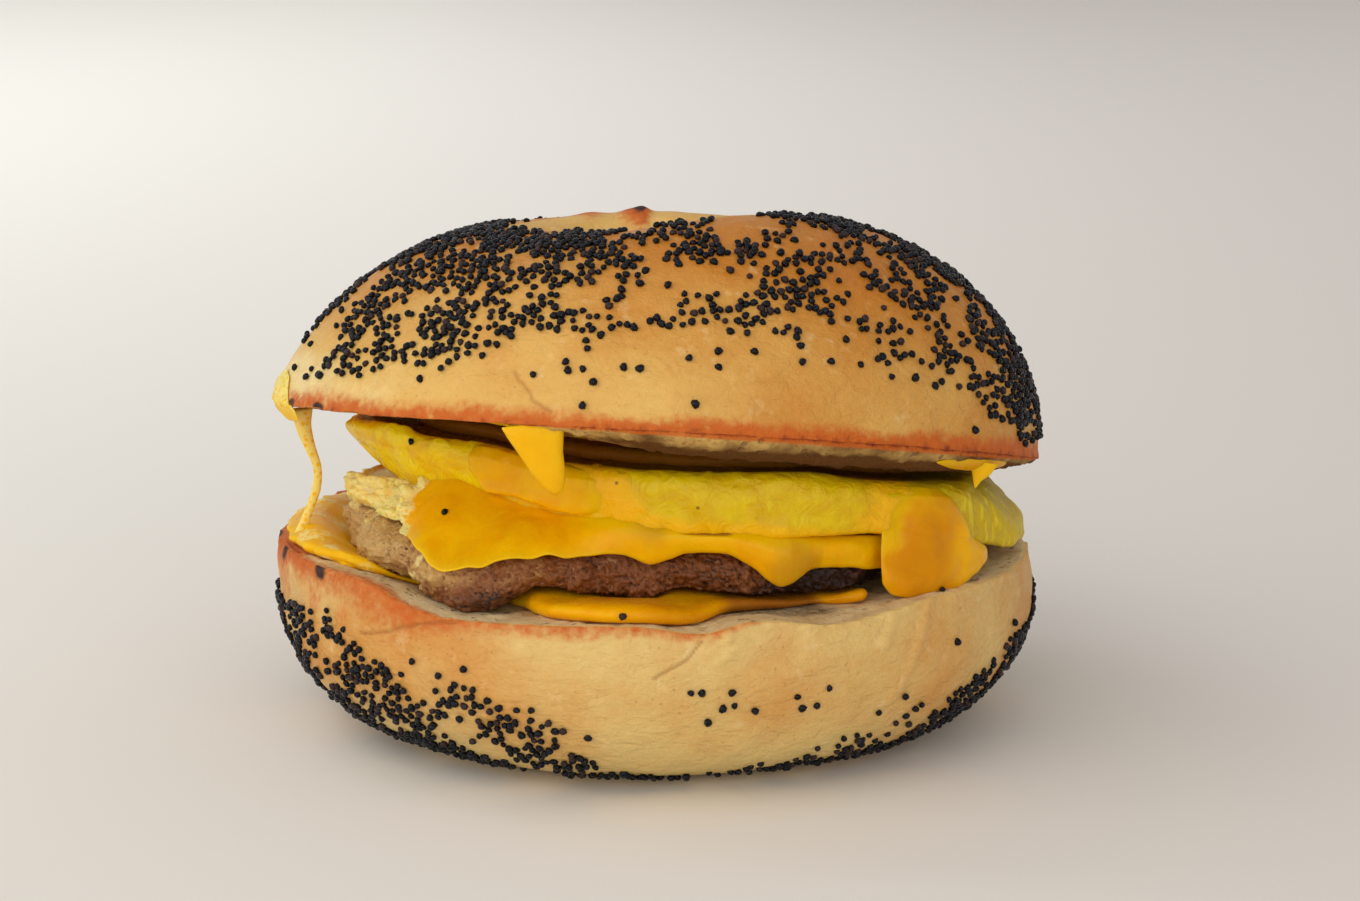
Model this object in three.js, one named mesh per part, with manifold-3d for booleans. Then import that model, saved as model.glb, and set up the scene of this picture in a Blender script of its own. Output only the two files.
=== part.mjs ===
// A poppy seed bagel sandwich: two toasted bagel halves round a sausage patty, an omelette and
// melted slices of cheese, one of them pulled into a string at the left end.
// Millimetres, +Z up, +X right, -Y the front. Angles run round the base's axis in degrees:
// 0 is the right, 90 the back, 180 the left and 270 the front.

import * as THREE from 'three'
import { mergeVertices } from 'three/addons/utils/BufferGeometryUtils.js'
import Module from 'manifold-3d'

const wasm = await Module()
wasm.setup()

const { degToRad, euclideanModulo, lerp, smoothstep } = THREE.MathUtils

// Lower half of the bagel
const BASE_RIM_RADIUS = 53.3
const BASE_WIDEST_RADIUS = 54.3
const BASE_WIDEST_HEIGHT = 18.5
const BASE_FOOT_RADIUS = 30
const BASE_FOOT_HALF_WIDTH = 4.5
const BASE_FOOT_PRESSED = 0.35
const BASE_CUT_HEIGHT = 23.6
const BASE_HOLE_RADIUS = 8
const BASE_HOLE_LIP_RADIUS = 10
const BASE_THROAT_HEIGHT = 14
const BASE_DISH_START = 38
const BASE_RIM_HEIGHTS = [
  [0, 23.8], [60, 24], [120, 24.6], [150, 25.5], [176, 25.4], [200, 26.6], [218, 26.9],
  [236, 23.6], [250, 24.6], [268, 25.1], [277, 24.2], [284, 25.4], [297, 24.1], [314, 25.2], [340, 24.4],
]

// Upper half of the bagel, in its own tilted frame: it leans back and its right end hangs lower
const CROWN_SEAT_HEIGHT = 41.2
const CROWN_LEAN_DEG = 9
const CROWN_ROLL_DEG = 4.7
const CROWN_RADII = [[0, 54.6], [90, 53.4], [180, 53.6], [270, 53.6]]
const CROWN_CREST_RADII = [
  [0, 18], [45, 17], [90, 16], [135, 20], [180, 24], [225, 26], [270, 27], [293, 26], [325, 22],
]
const CROWN_CREST_HEIGHTS = [
  [0, 30.2], [90, 30.4], [135, 28.5], [180, 26], [225, 25.5], [252, 25.7], [270, 27.6], [293, 29.6], [325, 30.3],
]
const CROWN_SQUARENESS = [[0, 2.05], [90, 1.9], [180, 1.7], [270, 1.8]]
const CROWN_UNDERSIDE_RISE = [
  [0, -0.6], [45, 1.6], [90, 3], [150, 2.6], [180, 1.8], [225, 1.5], [245, 0.2], [257, -1.5], [280, -3.4],
  [325, -3.2],
]
const CROWN_HOLE = { x: -3, y: -4, radius: 7.5, lipRadius: 9, throatHeight: 13 }

// Seeds baked into the crust
const SEED_LENGTH = 1.25
const SEED_WIDTH = 1.05
const CROWN_SEEDS = 84
const BASE_SEEDS = 52

// Sausage patty, with the lobe at its front left that rests on the rim
const PATTY_RADII = [
  [0, 36], [30, 38], [90, 37.5], [150, 41], [180, 43], [207, 44], [226, 47], [240, 50.4], [250, 45.5],
  [262, 40.8], [275, 40.5], [290, 42.6], [304, 44.6], [315, 42.5], [332, 38.5],
]
const PATTY_TOP_HEIGHT = 31.4
const PATTY_BACK_TOP_HEIGHT = 29.2
const PATTY_LEFT_FALL = 1.6
const PATTY_RIGHT_FALL = 2.2
const PATTY_BOTTOM_GAP = 0.4
const PATTY_LIFT_BY_CHEESE = 1.5
const PATTY_LOBE = { x: -26, y: -42, inner: 7, outer: 19 }

// Folded omelette: it overhangs at the upper left and slumps onto the rim at the right
const EGG_TOP_RADII = [
  [0, 50], [20, 45], [45, 40], [90, 35], [150, 38], [180, 42.5], [197, 46], [211, 43.6], [231, 38.8],
  [252, 39.2], [270, 41.8], [289, 45.6], [307, 48.4], [324, 50], [343, 51],
]
const EGG_UNDERCUT = [[0, -0.3], [180, 6.5], [205, 7], [231, 2.4], [252, 0.6], [290, -0.3]]
const EGG_BOTTOM_HEIGHT = 33.5
const EGG_BOTTOM_SLUMP = { start: 27, reach: 24, depth: 7.8, power: 1.3 }
const EGG_TOP_HEIGHT = 43.4
const EGG_CROWN_CONTACT_RADIUS = 42
const EGG_TOP_SLUMP = { start: 18, reach: 32, depth: 11.5, power: 1.7 }
const ROOM_UNDER_CROWN_LEFT = 4.1
const ROOM_UNDER_CROWN_RIGHT = 2.6
const ROOM_AT_BARE_EDGE = 0.7

// Melted slices
const SLICE_THICKNESS = 1.55
const SLICE_REST = 0.45
const CHEESE_HANG_MIDDLE = [
  [0, 3], [45, 2], [90, 1.5], [140, 1], [165, -4], [180, -8], [205, -5], [226, -1.5], [240, -2], [250, 0],
  [258, 1.6], [277, 1.4], [291, 3.4], [303, 2.4], [330, 2],
]
const CHEESE_HANG_UPPER = [
  [0, -4], [90, -3], [180, -6], [215, -6], [225, -2], [231, 4], [240, 6], [250, 6.2], [256, 4], [262, 0],
  [270, -4], [285, -5.5], [299, -4], [304, 11], [309, 15.5], [315, 15], [321, 12], [326, 8], [331, 0],
  [337, -4],
]
const CHEESE_LOWER_RADII = [
  [0, 34], [45, 32], [90, 24], [135, 34], [160, 45], [178, 49.6], [192, 49.6], [205, 46], [222, 42],
  [244, 40], [253, 46], [262, 51.4], [271, 51], [277, 44], [283, 34], [294, 34], [303, 44.2], [310, 36],
  [325, 34],
]
const CHEESE_LOWER_THICKNESS = 1.7

// Slice stuck under the crown, with a pointed flap at the front and a drip at the right
const CROWN_SLICE_RADII = [
  [0, 5], [90, 10], [135, 26], [165, 38], [180, 45], [196, 49], [215, 42], [235, 42], [245, 48.5], [252, 50],
  [260, 39], [272, 22], [310, 8],
]
const CROWN_SLICE_THICKNESS = 1.1
const FLAP = { angle: 253.6, halfWidth: 3.9, length: 7.8, tipShift: 2.4, thickness: 1.5, rimInset: 2.6, root: 7 }

// Smear on the crown's cut face at the right, with a pointed drip
const SMEAR = { from: 312, to: 332, innerRadius: 43, outerRadius: 50.5, thickness: 1 }
const DRIP = { angle: 325, topRadius: 1.9, length: 3.4, radius: 48.4 }

// Cheese string from the crown's left end down to the base: [x, y, z, half width]
const STRING_STOPS = [
  [-48.6, -13, 45.6, 1.5], [-48.4, -13, 43, 1.1], [-47.6, -12.6, 40, 0.75], [-46.8, -12.2, 37.2, 0.6],
  [-46.9, -12, 34.4, 0.6], [-47.8, -12, 31.6, 0.6], [-48.8, -12, 29, 0.7], [-49.4, -12, 27.2, 1],
]
const STRING_FLATNESS = 0.7

// Facets round each piece
const BREAD_SIDES = 48
const FILLING_SIDES = 46
const SLICE_SIDES = 36

// Clearance left between touching pieces
const GAP = 0.3
const SMALLEST_FEATURE = 0.02

const CRUST_COLOUR = 0xdcae6c
const CHEESE_COLOUR = 0xeba70f
const EGG_COLOUR = 0xdcc01c
const PATTY_COLOUR = 0x86603f

// Value at an angle from [angle, value] stops round a loop, joined by a smooth curve
function around(stops, degrees) {
  const angle = euclideanModulo(degrees, 360)
  const count = stops.length
  const found = stops.findIndex(([stopAngle]) => stopAngle > angle)
  const upper = found === -1 ? count : found
  const stop = (index) => {
    const turns = Math.floor(index / count)
    const [stopAngle, value] = stops[euclideanModulo(index, count)]
    return [stopAngle + 360 * turns, value]
  }
  const [before, start, end, after] = [upper - 2, upper - 1, upper, upper + 1].map(stop)
  const span = end[0] - start[0]
  const t = (angle - start[0]) / span
  const startSlope = ((end[1] - before[1]) / (end[0] - before[0])) * span
  const endSlope = ((after[1] - start[1]) / (after[0] - start[0])) * span
  const rise = end[1] - start[1]
  return start[1] + t * (startSlope + t * (3 * rise - 2 * startSlope - endSlope
    + t * (startSlope + endSlope - 2 * rise)))
}

function polar(radius, degrees, z) {
  const angle = degToRad(degrees)
  return new THREE.Vector3(radius * Math.cos(angle), radius * Math.sin(angle), z)
}

function angleOf(x, y) {
  return THREE.MathUtils.radToDeg(Math.atan2(y, x))
}

// Smooth change from 0 at one place to 1 at another, in either direction
function blend(from, to, value) {
  return from < to ? smoothstep(value, from, to) : 1 - smoothstep(value, to, from)
}

// Two triangles for each cell between neighbouring rings of equal length
function ringFaces(ringCount, sides, looped) {
  const faces = []
  const bands = looped ? ringCount : ringCount - 1
  for (let ring = 0; ring < bands; ring++) {
    for (let side = 0; side < sides; side++) {
      const next = (side + 1) % sides
      const outer = (ring + 1) % ringCount
      const [a, b] = [ring * sides + side, ring * sides + next]
      const [c, d] = [outer * sides + next, outer * sides + side]
      faces.push(a, d, c, a, c, b)
    }
  }
  return faces
}

function solidFrom(points, faces) {
  const positions = points.flatMap((point) => [point.x, point.y, point.z])
  return new wasm.Manifold(new wasm.Mesh({
    numProp: 3,
    vertProperties: new Float32Array(positions),
    triVerts: new Uint32Array(faces),
  }))
}

// A ring shaped solid: its section closes on itself
function hoopSolid(rings) {
  return solidFrom(rings.flat(), ringFaces(rings.length, rings[0].length, true))
}

// A slab or strand: rings run from a first middle point over the outside to a last middle point
function cappedSolid(first, rings, last) {
  const sides = rings[0].length
  const faces = ringFaces(rings.length, sides, false)
  const firstIndex = rings.length * sides
  const lastRing = (rings.length - 1) * sides
  for (let side = 0; side < sides; side++) {
    const next = (side + 1) % sides
    faces.push(firstIndex, side, next)
    faces.push(firstIndex + 1, lastRing + next, lastRing + side)
  }
  return solidFrom([...rings.flat(), first, last], faces)
}

function solidOfGeometry(geometry) {
  const bare = geometry.clone()
  bare.deleteAttribute('normal')
  bare.deleteAttribute('uv')
  const merged = mergeVertices(bare)
  return new wasm.Manifold(new wasm.Mesh({
    numProp: 3,
    vertProperties: new Float32Array(merged.attributes.position.array),
    triVerts: new Uint32Array(merged.index.array),
  }))
}

function anglesFor(sides) {
  return Array.from({ length: sides }, (unused, side) => (360 * side) / sides)
}

// The largest piece of a solid, so that a scrap cut loose is dropped
function largestPiece(solid) {
  const pieces = solid.decompose()
  return pieces.reduce((best, piece) => (piece.volume() > best.volume() ? piece : best))
}

function clearOf(solid, neighbours) {
  const cut = neighbours.reduce((left, neighbour) => left.subtract(neighbour), solid)
  return largestPiece(cut.simplify(SMALLEST_FEATURE))
}

// Repeatable random numbers from 0 to 1
function randomSource(seed) {
  let state = seed
  return () => {
    state = (state + 0x6d2b79f5) | 0
    let mixed = Math.imul(state ^ (state >>> 15), 1 | state)
    mixed = (mixed + Math.imul(mixed ^ (mixed >>> 7), 61 | mixed)) ^ mixed
    return ((mixed ^ (mixed >>> 14)) >>> 0) / 4294967296
  }
}

// Lower half of the bagel

function baseRimHeight(degrees) {
  return around(BASE_RIM_HEIGHTS, degrees)
}

function baseCutHeight(radius, degrees) {
  const share = smoothstep(radius, BASE_DISH_START, BASE_RIM_RADIUS)
  return lerp(BASE_CUT_HEIGHT, baseRimHeight(degrees), share)
}

// Crust from the foot (0) over the widest line (1) to the rim (2)
function baseCrust(along, degrees, grow) {
  if (along <= 1) {
    const swing = (Math.PI / 2) * along
    const reach = BASE_WIDEST_RADIUS - BASE_FOOT_RADIUS
    const z = BASE_WIDEST_HEIGHT * (1 - Math.cos(swing)) - BASE_FOOT_PRESSED
    return polar(BASE_FOOT_RADIUS + reach * Math.sin(swing) + grow, degrees, Math.max(z, 0) - grow)
  }
  const rise = along - 1
  const radius = lerp(BASE_WIDEST_RADIUS, BASE_RIM_RADIUS, rise * rise)
  const z = lerp(BASE_WIDEST_HEIGHT, baseRimHeight(degrees), rise)
  return polar(radius + grow, degrees, z + grow * rise)
}

function makeBaseBody(sides, grow = 0) {
  const crustSteps = [0.28, 0.4, 0.52, 0.64, 0.76, 0.88, 1, 1.35, 1.7, 2]
  const cutRadii = [51.5, 46, 38, 28, 18, BASE_HOLE_LIP_RADIUS]
  const throatSteps = [0, 0.35, 0.7, 1]
  const outerFoot = BASE_FOOT_RADIUS + BASE_FOOT_HALF_WIDTH
  const innerFoot = BASE_FOOT_RADIUS - BASE_FOOT_HALF_WIDTH
  const rings = []
  const addRing = (pointAt) => rings.push(anglesFor(sides).map(pointAt))
  for (const radius of cutRadii.toReversed()) {
    addRing((degrees) => polar(radius, degrees, baseCutHeight(radius, degrees) + grow))
  }
  for (const step of crustSteps.toReversed()) {
    addRing((degrees) => baseCrust(step, degrees, grow))
  }
  addRing((degrees) => polar(outerFoot, degrees, -grow))
  addRing((degrees) => polar(innerFoot, degrees, -grow))
  for (const step of throatSteps) {
    const swing = (Math.PI / 2) * lerp(0.25, 1, step)
    const reach = innerFoot - BASE_HOLE_RADIUS
    const radius = BASE_HOLE_RADIUS + reach * (1 - Math.sin(swing))
    addRing((degrees) => polar(radius - grow, degrees, BASE_THROAT_HEIGHT * (1 - Math.cos(swing))))
  }
  addRing((degrees) => polar(BASE_HOLE_RADIUS - grow, degrees, BASE_CUT_HEIGHT - 2))
  return hoopSolid(rings)
}

// Upper half of the bagel

const crownPose = new THREE.Matrix4()
  .makeTranslation(0, 0, CROWN_SEAT_HEIGHT)
  .multiply(new THREE.Matrix4().makeRotationY(degToRad(CROWN_ROLL_DEG)))
  .multiply(new THREE.Matrix4().makeRotationX(degToRad(-CROWN_LEAN_DEG)))

function crownEdgeHeight(degrees) {
  const doubled = degToRad(2 * degrees)
  return 0.1 - 0.8 * Math.cos(doubled) - 0.8 * Math.sin(doubled)
}

// Underside height in the crown's frame: it sags inside the front right rim and is hollow elsewhere
function crownUndersideHeight(radius, degrees) {
  const edge = around(CROWN_RADII, degrees)
  const inward = (edge - radius) / (edge - CROWN_HOLE.lipRadius)
  const wave = Math.sin(Math.PI * Math.pow(THREE.MathUtils.clamp(inward, 0, 1), 0.5))
  return crownEdgeHeight(degrees) + around(CROWN_UNDERSIDE_RISE, degrees) * wave
}

function crownUndersidePoint(radius, degrees, drop) {
  return polar(radius, degrees, crownUndersideHeight(radius, degrees) - drop).applyMatrix4(crownPose)
}

// Crust from the edge (0) to the crest (1)
function crownCrust(along, degrees, grow) {
  const squareness = around(CROWN_SQUARENESS, degrees)
  const crest = around(CROWN_CREST_RADII, degrees)
  const edge = crownEdgeHeight(degrees)
  const height = around(CROWN_CREST_HEIGHTS, degrees)
  const swing = (Math.PI / 2) * along
  const outward = Math.pow(Math.cos(swing), 2 / squareness)
  const upward = Math.pow(Math.sin(swing), 2 / squareness)
  const radius = lerp(crest, around(CROWN_RADII, degrees), outward)
  return polar(radius + grow * outward, degrees, lerp(edge, height, upward) + grow * upward)
}

function crownCrustPoint(along, degrees, grow = 0) {
  return crownCrust(along, degrees, grow).applyMatrix4(crownPose)
}

function makeCrownBody(sides, grow = 0) {
  const crustSteps = [0.001, 0.08, 0.16, 0.26, 0.36, 0.46, 0.57, 0.68, 0.8, 0.9, 1]
  const funnelSteps = [0.22, 0.42, 0.62, 0.82, 1]
  const cutRadii = [16, 23, 31, 39, 46, 50.5]
  const rings = []
  const addRing = (pointAt) => rings.push(anglesFor(sides).map(pointAt))
  const holePoint = (radius, share, degrees, z) => {
    const point = polar(radius - grow * share, degrees, z)
    point.x += CROWN_HOLE.x * share
    point.y += CROWN_HOLE.y * share
    return point.applyMatrix4(crownPose)
  }
  for (const step of funnelSteps.toReversed()) {
    const swing = (Math.PI / 2) * step
    addRing((degrees) => {
      const crest = around(CROWN_CREST_RADII, degrees)
      const height = around(CROWN_CREST_HEIGHTS, degrees)
      const radius = lerp(crest, CROWN_HOLE.radius, Math.sin(swing))
      const z = lerp(CROWN_HOLE.throatHeight, height, Math.cos(swing)) + grow * (1 - step)
      return holePoint(radius, step, degrees, z)
    })
  }
  for (const step of crustSteps.toReversed()) {
    addRing((degrees) => crownCrustPoint(step, degrees, grow))
  }
  for (const radius of cutRadii.toReversed()) {
    addRing((degrees) => crownUndersidePoint(radius, degrees, grow))
  }
  addRing((degrees) => holePoint(
    CROWN_HOLE.lipRadius, 1, degrees, crownUndersideHeight(cutRadii[0], degrees) - grow + 1))
  return hoopSolid(rings)
}

// Seeds

// Half sunk seeds at the given places, each turned at random
function makeSeeds(places, random) {
  const grain = new THREE.OctahedronGeometry(0.5, 0).scale(SEED_LENGTH, SEED_WIDTH, SEED_WIDTH)
  return places.map((place) => {
    const turn = new THREE.Euler(2 * Math.PI * random(), 2 * Math.PI * random(), 2 * Math.PI * random())
    const pose = new THREE.Matrix4().makeRotationFromEuler(turn).setPosition(place)
    return solidOfGeometry(grain.clone().applyMatrix4(pose))
  })
}

// Places spread evenly where seeds lie: a random draw is kept when it is far enough from the others
function scatter(count, spacing, random, draw) {
  const places = []
  for (let tries = 0; places.length < count && tries < 60 * count; tries++) {
    const place = draw(random)
    if (place && places.every((other) => other.distanceTo(place) > spacing)) places.push(place)
  }
  return places
}

// Lowest seeded height of the crown's crust, as a share of the way to the crest
const CROWN_SEED_LIMITS = [
  [0, 0.2], [60, 0.25], [120, 0.28], [180, 0.3], [215, 0.32], [235, 0.36], [255, 0.5], [270, 0.58], [290, 0.6],
  [305, 0.5], [320, 0.34], [340, 0.12],
]
// Highest seeded height of the base's crust, as a share of the way from foot to widest line
const BASE_SEED_LIMITS = [
  [0, 0.95], [60, 0.9], [120, 0.9], [180, 1.1], [205, 1.2], [225, 1.05], [245, 0.86], [265, 0.74], [285, 0.66],
  [305, 0.62], [330, 0.7],
]

function crownSeedPlace(random) {
  const degrees = 360 * random()
  const limit = around(CROWN_SEED_LIMITS, degrees)
  return crownCrustPoint(lerp(limit, 0.98, random()), degrees)
}

function baseSeedPlace(random) {
  const degrees = 360 * random()
  const limit = around(BASE_SEED_LIMITS, degrees)
  return baseCrust(lerp(0.42, limit, random()), degrees, 0)
}

// Fillings

// Share of the lower slice's thickness that lifts the patty off the base
function pattyLift(x, y) {
  const lobeDistance = Math.hypot(x - PATTY_LOBE.x, y - PATTY_LOBE.y)
  const offLobe = blend(PATTY_LOBE.inner, PATTY_LOBE.outer, lobeDistance)
  return offLobe * blend(32, 16, y) * lerp(0.55, 1, blend(-32, -16, x))
}

function pattyBottomHeight(x, y) {
  const seat = baseCutHeight(Math.hypot(x, y), angleOf(x, y)) + PATTY_BOTTOM_GAP
  return seat + pattyLift(x, y) * PATTY_LIFT_BY_CHEESE
}

function pattyTopHeight(x, y) {
  const back = blend(-5, 36, y)
  const fall = PATTY_LEFT_FALL * blend(-28, -44, x) + PATTY_RIGHT_FALL * blend(20, 37, x)
  return lerp(PATTY_TOP_HEIGHT, PATTY_BACK_TOP_HEIGHT, back) - fall
}

// A slab seen from its middle: each stop gives a ring's share of the edge radius, its inset from the
// edge and its level from the bottom (0) to the top (1)
function makeSlab({ sides, stops, edgeAt, bottomAt, topAt, grow = 0 }) {
  const rings = stops.map(([share, inset, level]) => anglesFor(sides).map((degrees) => {
    const point = polar(edgeAt(degrees, level) * share - inset + grow * share, degrees, 0)
    point.z = lerp(bottomAt(point.x, point.y) - grow, topAt(point.x, point.y) + grow, level)
    return point
  }))
  const first = new THREE.Vector3(0, 0, topAt(0, 0) + grow)
  const last = new THREE.Vector3(0, 0, bottomAt(0, 0) - grow)
  return cappedSolid(first, rings, last)
}

function makePatty(sides, grow = 0) {
  return makeSlab({
    sides,
    grow,
    stops: [
      [0.5, 0, 1], [1, 5, 1], [1, 1.6, 0.9], [1, 0.2, 0.62], [1, 0.2, 0.32], [1, 1.5, 0.06], [1, 5, 0],
      [0.5, 0, 0],
    ],
    edgeAt: (degrees) => around(PATTY_RADII, degrees),
    bottomAt: pattyBottomHeight,
    topAt: pattyTopHeight,
  })
}

// How far the omelette has slumped at its right end
function slumpAt(x, { start, reach, depth, power }) {
  return depth * Math.pow(Math.max(0, x - start) / reach, power)
}

function crownFloorHeight(x, y) {
  const plane = -Math.sin(degToRad(CROWN_LEAN_DEG)) * y - Math.sin(degToRad(CROWN_ROLL_DEG)) * x
  return CROWN_SEAT_HEIGHT + plane + crownUndersideHeight(Math.hypot(x, y), angleOf(x, y))
}

// Room left over the omelette for the slices, less at its front edge where it lies bare
function roomUnderCrown(x, y) {
  const room = lerp(ROOM_UNDER_CROWN_LEFT, ROOM_UNDER_CROWN_RIGHT, blend(2, 14, x))
  const bare = blend(31, 38, Math.hypot(x, y)) * blend(-9, -2, x) * blend(27, 20, x) * blend(-20, -30, y)
  return lerp(room, ROOM_AT_BARE_EDGE, bare)
}

function eggTopHeight(x, y) {
  const free = EGG_TOP_HEIGHT - slumpAt(x, EGG_TOP_SLUMP)
  const share = Math.min(1, EGG_CROWN_CONTACT_RADIUS / Math.max(1, Math.hypot(x, y)))
  return Math.min(free, crownFloorHeight(x * share, y * share) - roomUnderCrown(x, y))
}

function eggBottomHeight(x, y) {
  const back = blend(-5, 36, y) * (PATTY_TOP_HEIGHT - PATTY_BACK_TOP_HEIGHT)
  return EGG_BOTTOM_HEIGHT - back - slumpAt(x, EGG_BOTTOM_SLUMP)
}

function makeEgg(sides, grow = 0) {
  return makeSlab({
    sides,
    grow,
    stops: [
      [0.5, 0, 1], [1, 5, 1], [1, 1.3, 0.93], [1, 0.1, 0.74], [1, 0.2, 0.5], [1, 0, 0.26], [1, 1, 0.06],
      [1, 4, 0], [0.5, 0, 0],
    ],
    edgeAt: (degrees, level) => around(EGG_TOP_RADII, degrees) - around(EGG_UNDERCUT, degrees) * (1 - level),
    bottomAt: eggBottomHeight,
    topAt: eggTopHeight,
  })
}

// A melted slice: it lies on a support out to the support's edge, then hangs down over it.
// A negative hang stops the slice before the edge. The outer face stands off by the thickness.
function makeDrapedSlice({ angles, edgeAt, hangAt, heightAt, grow = 0 }) {
  const bend = 2.6
  const bendLength = (Math.PI / 2) * bend
  const flatAt = (degrees) => edgeAt(degrees) + SLICE_REST - bend
  // The slice's face that stands off by a distance, at a length measured out from the middle
  const at = (stand, lengthAt) => (degrees) => {
    const flat = flatAt(degrees)
    const length = lengthAt(degrees, flat + bend + hangAt(degrees) + grow)
    const turned = THREE.MathUtils.clamp((length - flat) / bendLength, 0, 1) * (Math.PI / 2)
    const straight = Math.max(0, length - flat - bendLength)
    const radius = Math.min(length, flat) + bend * Math.sin(turned) + 0.08 * straight
    const foot = polar(Math.min(radius, edgeAt(degrees) - bend), degrees, 0)
    const point = polar(radius + stand * Math.sin(turned), degrees, 0)
    const drop = bend * (1 - Math.cos(turned)) + straight
    point.z = heightAt(foot.x, foot.y) + SLICE_REST - drop + stand * Math.cos(turned)
    return point
  }
  const steps = [
    (degrees, full) => 0.6 * flatAt(degrees),
    (degrees, full) => Math.min(full - 4.2, 0.86 * flatAt(degrees)),
    (degrees, full) => Math.min(full - 2.8, flatAt(degrees)),
    (degrees, full) => Math.min(full - 1.4, flatAt(degrees) + bendLength * 0.7),
  ]
  const outer = SLICE_THICKNESS + grow
  const inner = -grow
  const rings = [
    ...steps.map((step) => at(outer, step)),
    at(outer * 0.85, (degrees, full) => full - 0.6),
    at(inner, (degrees, full) => full - 0.3),
    ...steps.toReversed().map((step) => at(inner, step)),
  ].map((pointAt) => angles.map(pointAt))
  const first = new THREE.Vector3(0, 0, heightAt(0, 0) + SLICE_REST + outer)
  const last = new THREE.Vector3(0, 0, heightAt(0, 0) + SLICE_REST + inner)
  return cappedSolid(first, rings, last)
}

function makeMiddleCheese(grow = 0) {
  return makeDrapedSlice({
    angles: anglesFor(FILLING_SIDES),
    grow,
    edgeAt: (degrees) => around(PATTY_RADII, degrees),
    hangAt: (degrees) => around(CHEESE_HANG_MIDDLE, degrees),
    heightAt: pattyTopHeight,
  })
}

// The slice on the omelette: its two front corners hang down, so it has more steps there
function makeUpperCheese(grow = 0) {
  const back = Array.from({ length: 19 }, (unused, step) => -16 + 12.5 * step)
  const front = Array.from({ length: 32 }, (unused, step) => 222 + 3.7 * step)
  return makeDrapedSlice({
    angles: [...back, ...front],
    grow,
    edgeAt: (degrees) => around(EGG_TOP_RADII, degrees),
    hangAt: (degrees) => around(CHEESE_HANG_UPPER, degrees),
    heightAt: eggTopHeight,
  })
}

// The slice on the base, with a pool at its left and a rounded lobe at its front
function makeLowerCheese(sides, grow = 0) {
  const seatAt = (x, y) => {
    const radius = Math.min(Math.hypot(x, y), BASE_RIM_RADIUS)
    return baseCutHeight(radius, angleOf(x, y)) + SLICE_REST
  }
  const topAt = (x, y) => {
    const radius = Math.hypot(x, y)
    const degrees = euclideanModulo(angleOf(x, y), 360)
    const beyondPatty = blend(-2, 2, radius - around(PATTY_RADII, degrees))
    const lobe = 0.3 * blend(14, 4, Math.abs(degrees - 265))
    const squeezed = (PATTY_LIFT_BY_CHEESE - 0.55) * pattyLift(x, y)
    return seatAt(x, y) + lerp(squeezed, CHEESE_LOWER_THICKNESS + lobe, beyondPatty)
  }
  return makeSlab({
    sides,
    grow,
    stops: [
      [0.75, 0, 1], [1, 3.5, 1], [1, 1, 0.88], [1, 0, 0.5], [1, 0.8, 0.08], [1, 3.5, 0], [0.75, 0, 0],
    ],
    edgeAt: (degrees) => around(CHEESE_LOWER_RADII, degrees),
    bottomAt: seatAt,
    topAt,
  })
}

// A blunt spike from a ring of points to a tip, for the flap and the drip
function makeSpike(sections, tip) {
  const middle = sections[0].reduce((sum, point) => sum.add(point), new THREE.Vector3())
    .divideScalar(sections[0].length)
  return cappedSolid(middle, sections, tip)
}

function makeCrownFlap() {
  const corner = polar(BASE_RIM_RADIUS - FLAP.rimInset, FLAP.angle, 0)
  const top = crownUndersidePoint(BASE_RIM_RADIUS - FLAP.rimInset, FLAP.angle, SLICE_REST)
  const steps = [0.03, 0.14, 0.3, 0.6, 0.85]
  const sections = steps.map((step) => {
    const half = FLAP.halfWidth * (1 - 0.92 * step)
    const front = corner.y - FLAP.thickness / 2
    const back = front + lerp(FLAP.root, FLAP.thickness, smoothstep(step, 0, 0.3))
    const middle = corner.x + FLAP.tipShift * step
    const z = top.z - FLAP.length * step
    return [[-half, front], [half, front], [half, back], [-half, back]]
      .map(([across, y]) => new THREE.Vector3(middle + across, y, z))
  })
  const tip = new THREE.Vector3(corner.x + FLAP.tipShift, corner.y, top.z - FLAP.length)
  return makeSpike(sections, tip)
}

// The smear: an oval patch that follows the underside, and the drip that hangs from it
function makeSmear() {
  const middle = { degrees: (SMEAR.from + SMEAR.to) / 2, radius: (SMEAR.innerRadius + SMEAR.outerRadius) / 2 }
  const patchPoint = (share, turn, level) => {
    const degrees = middle.degrees + share * Math.cos(turn) * (SMEAR.to - SMEAR.from) / 2
    const radius = middle.radius + share * Math.sin(turn) * (SMEAR.outerRadius - SMEAR.innerRadius) / 2
    return crownUndersidePoint(radius, degrees, SLICE_REST + level * SMEAR.thickness)
  }
  const patchRings = [[0.6, 0], [1, 0.3], [0.9, 0.8], [0.5, 1]].map(([share, level]) =>
    anglesFor(12).map((degrees) => patchPoint(share, degToRad(-degrees), level)))
  const patch = cappedSolid(patchPoint(0, 0, 0), patchRings, patchPoint(0, 0, 1))
  const top = crownUndersidePoint(DRIP.radius, DRIP.angle, SLICE_REST)
  const sections = [0.12, 0.4, 0.75].map((step) => anglesFor(8).map((degrees) => {
    const offset = polar(DRIP.topRadius * (1 - 0.9 * step), degrees, -DRIP.length * step)
    return offset.add(top)
  }))
  return patch.add(makeSpike(sections, new THREE.Vector3(top.x, top.y, top.z - DRIP.length)))
}

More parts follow.
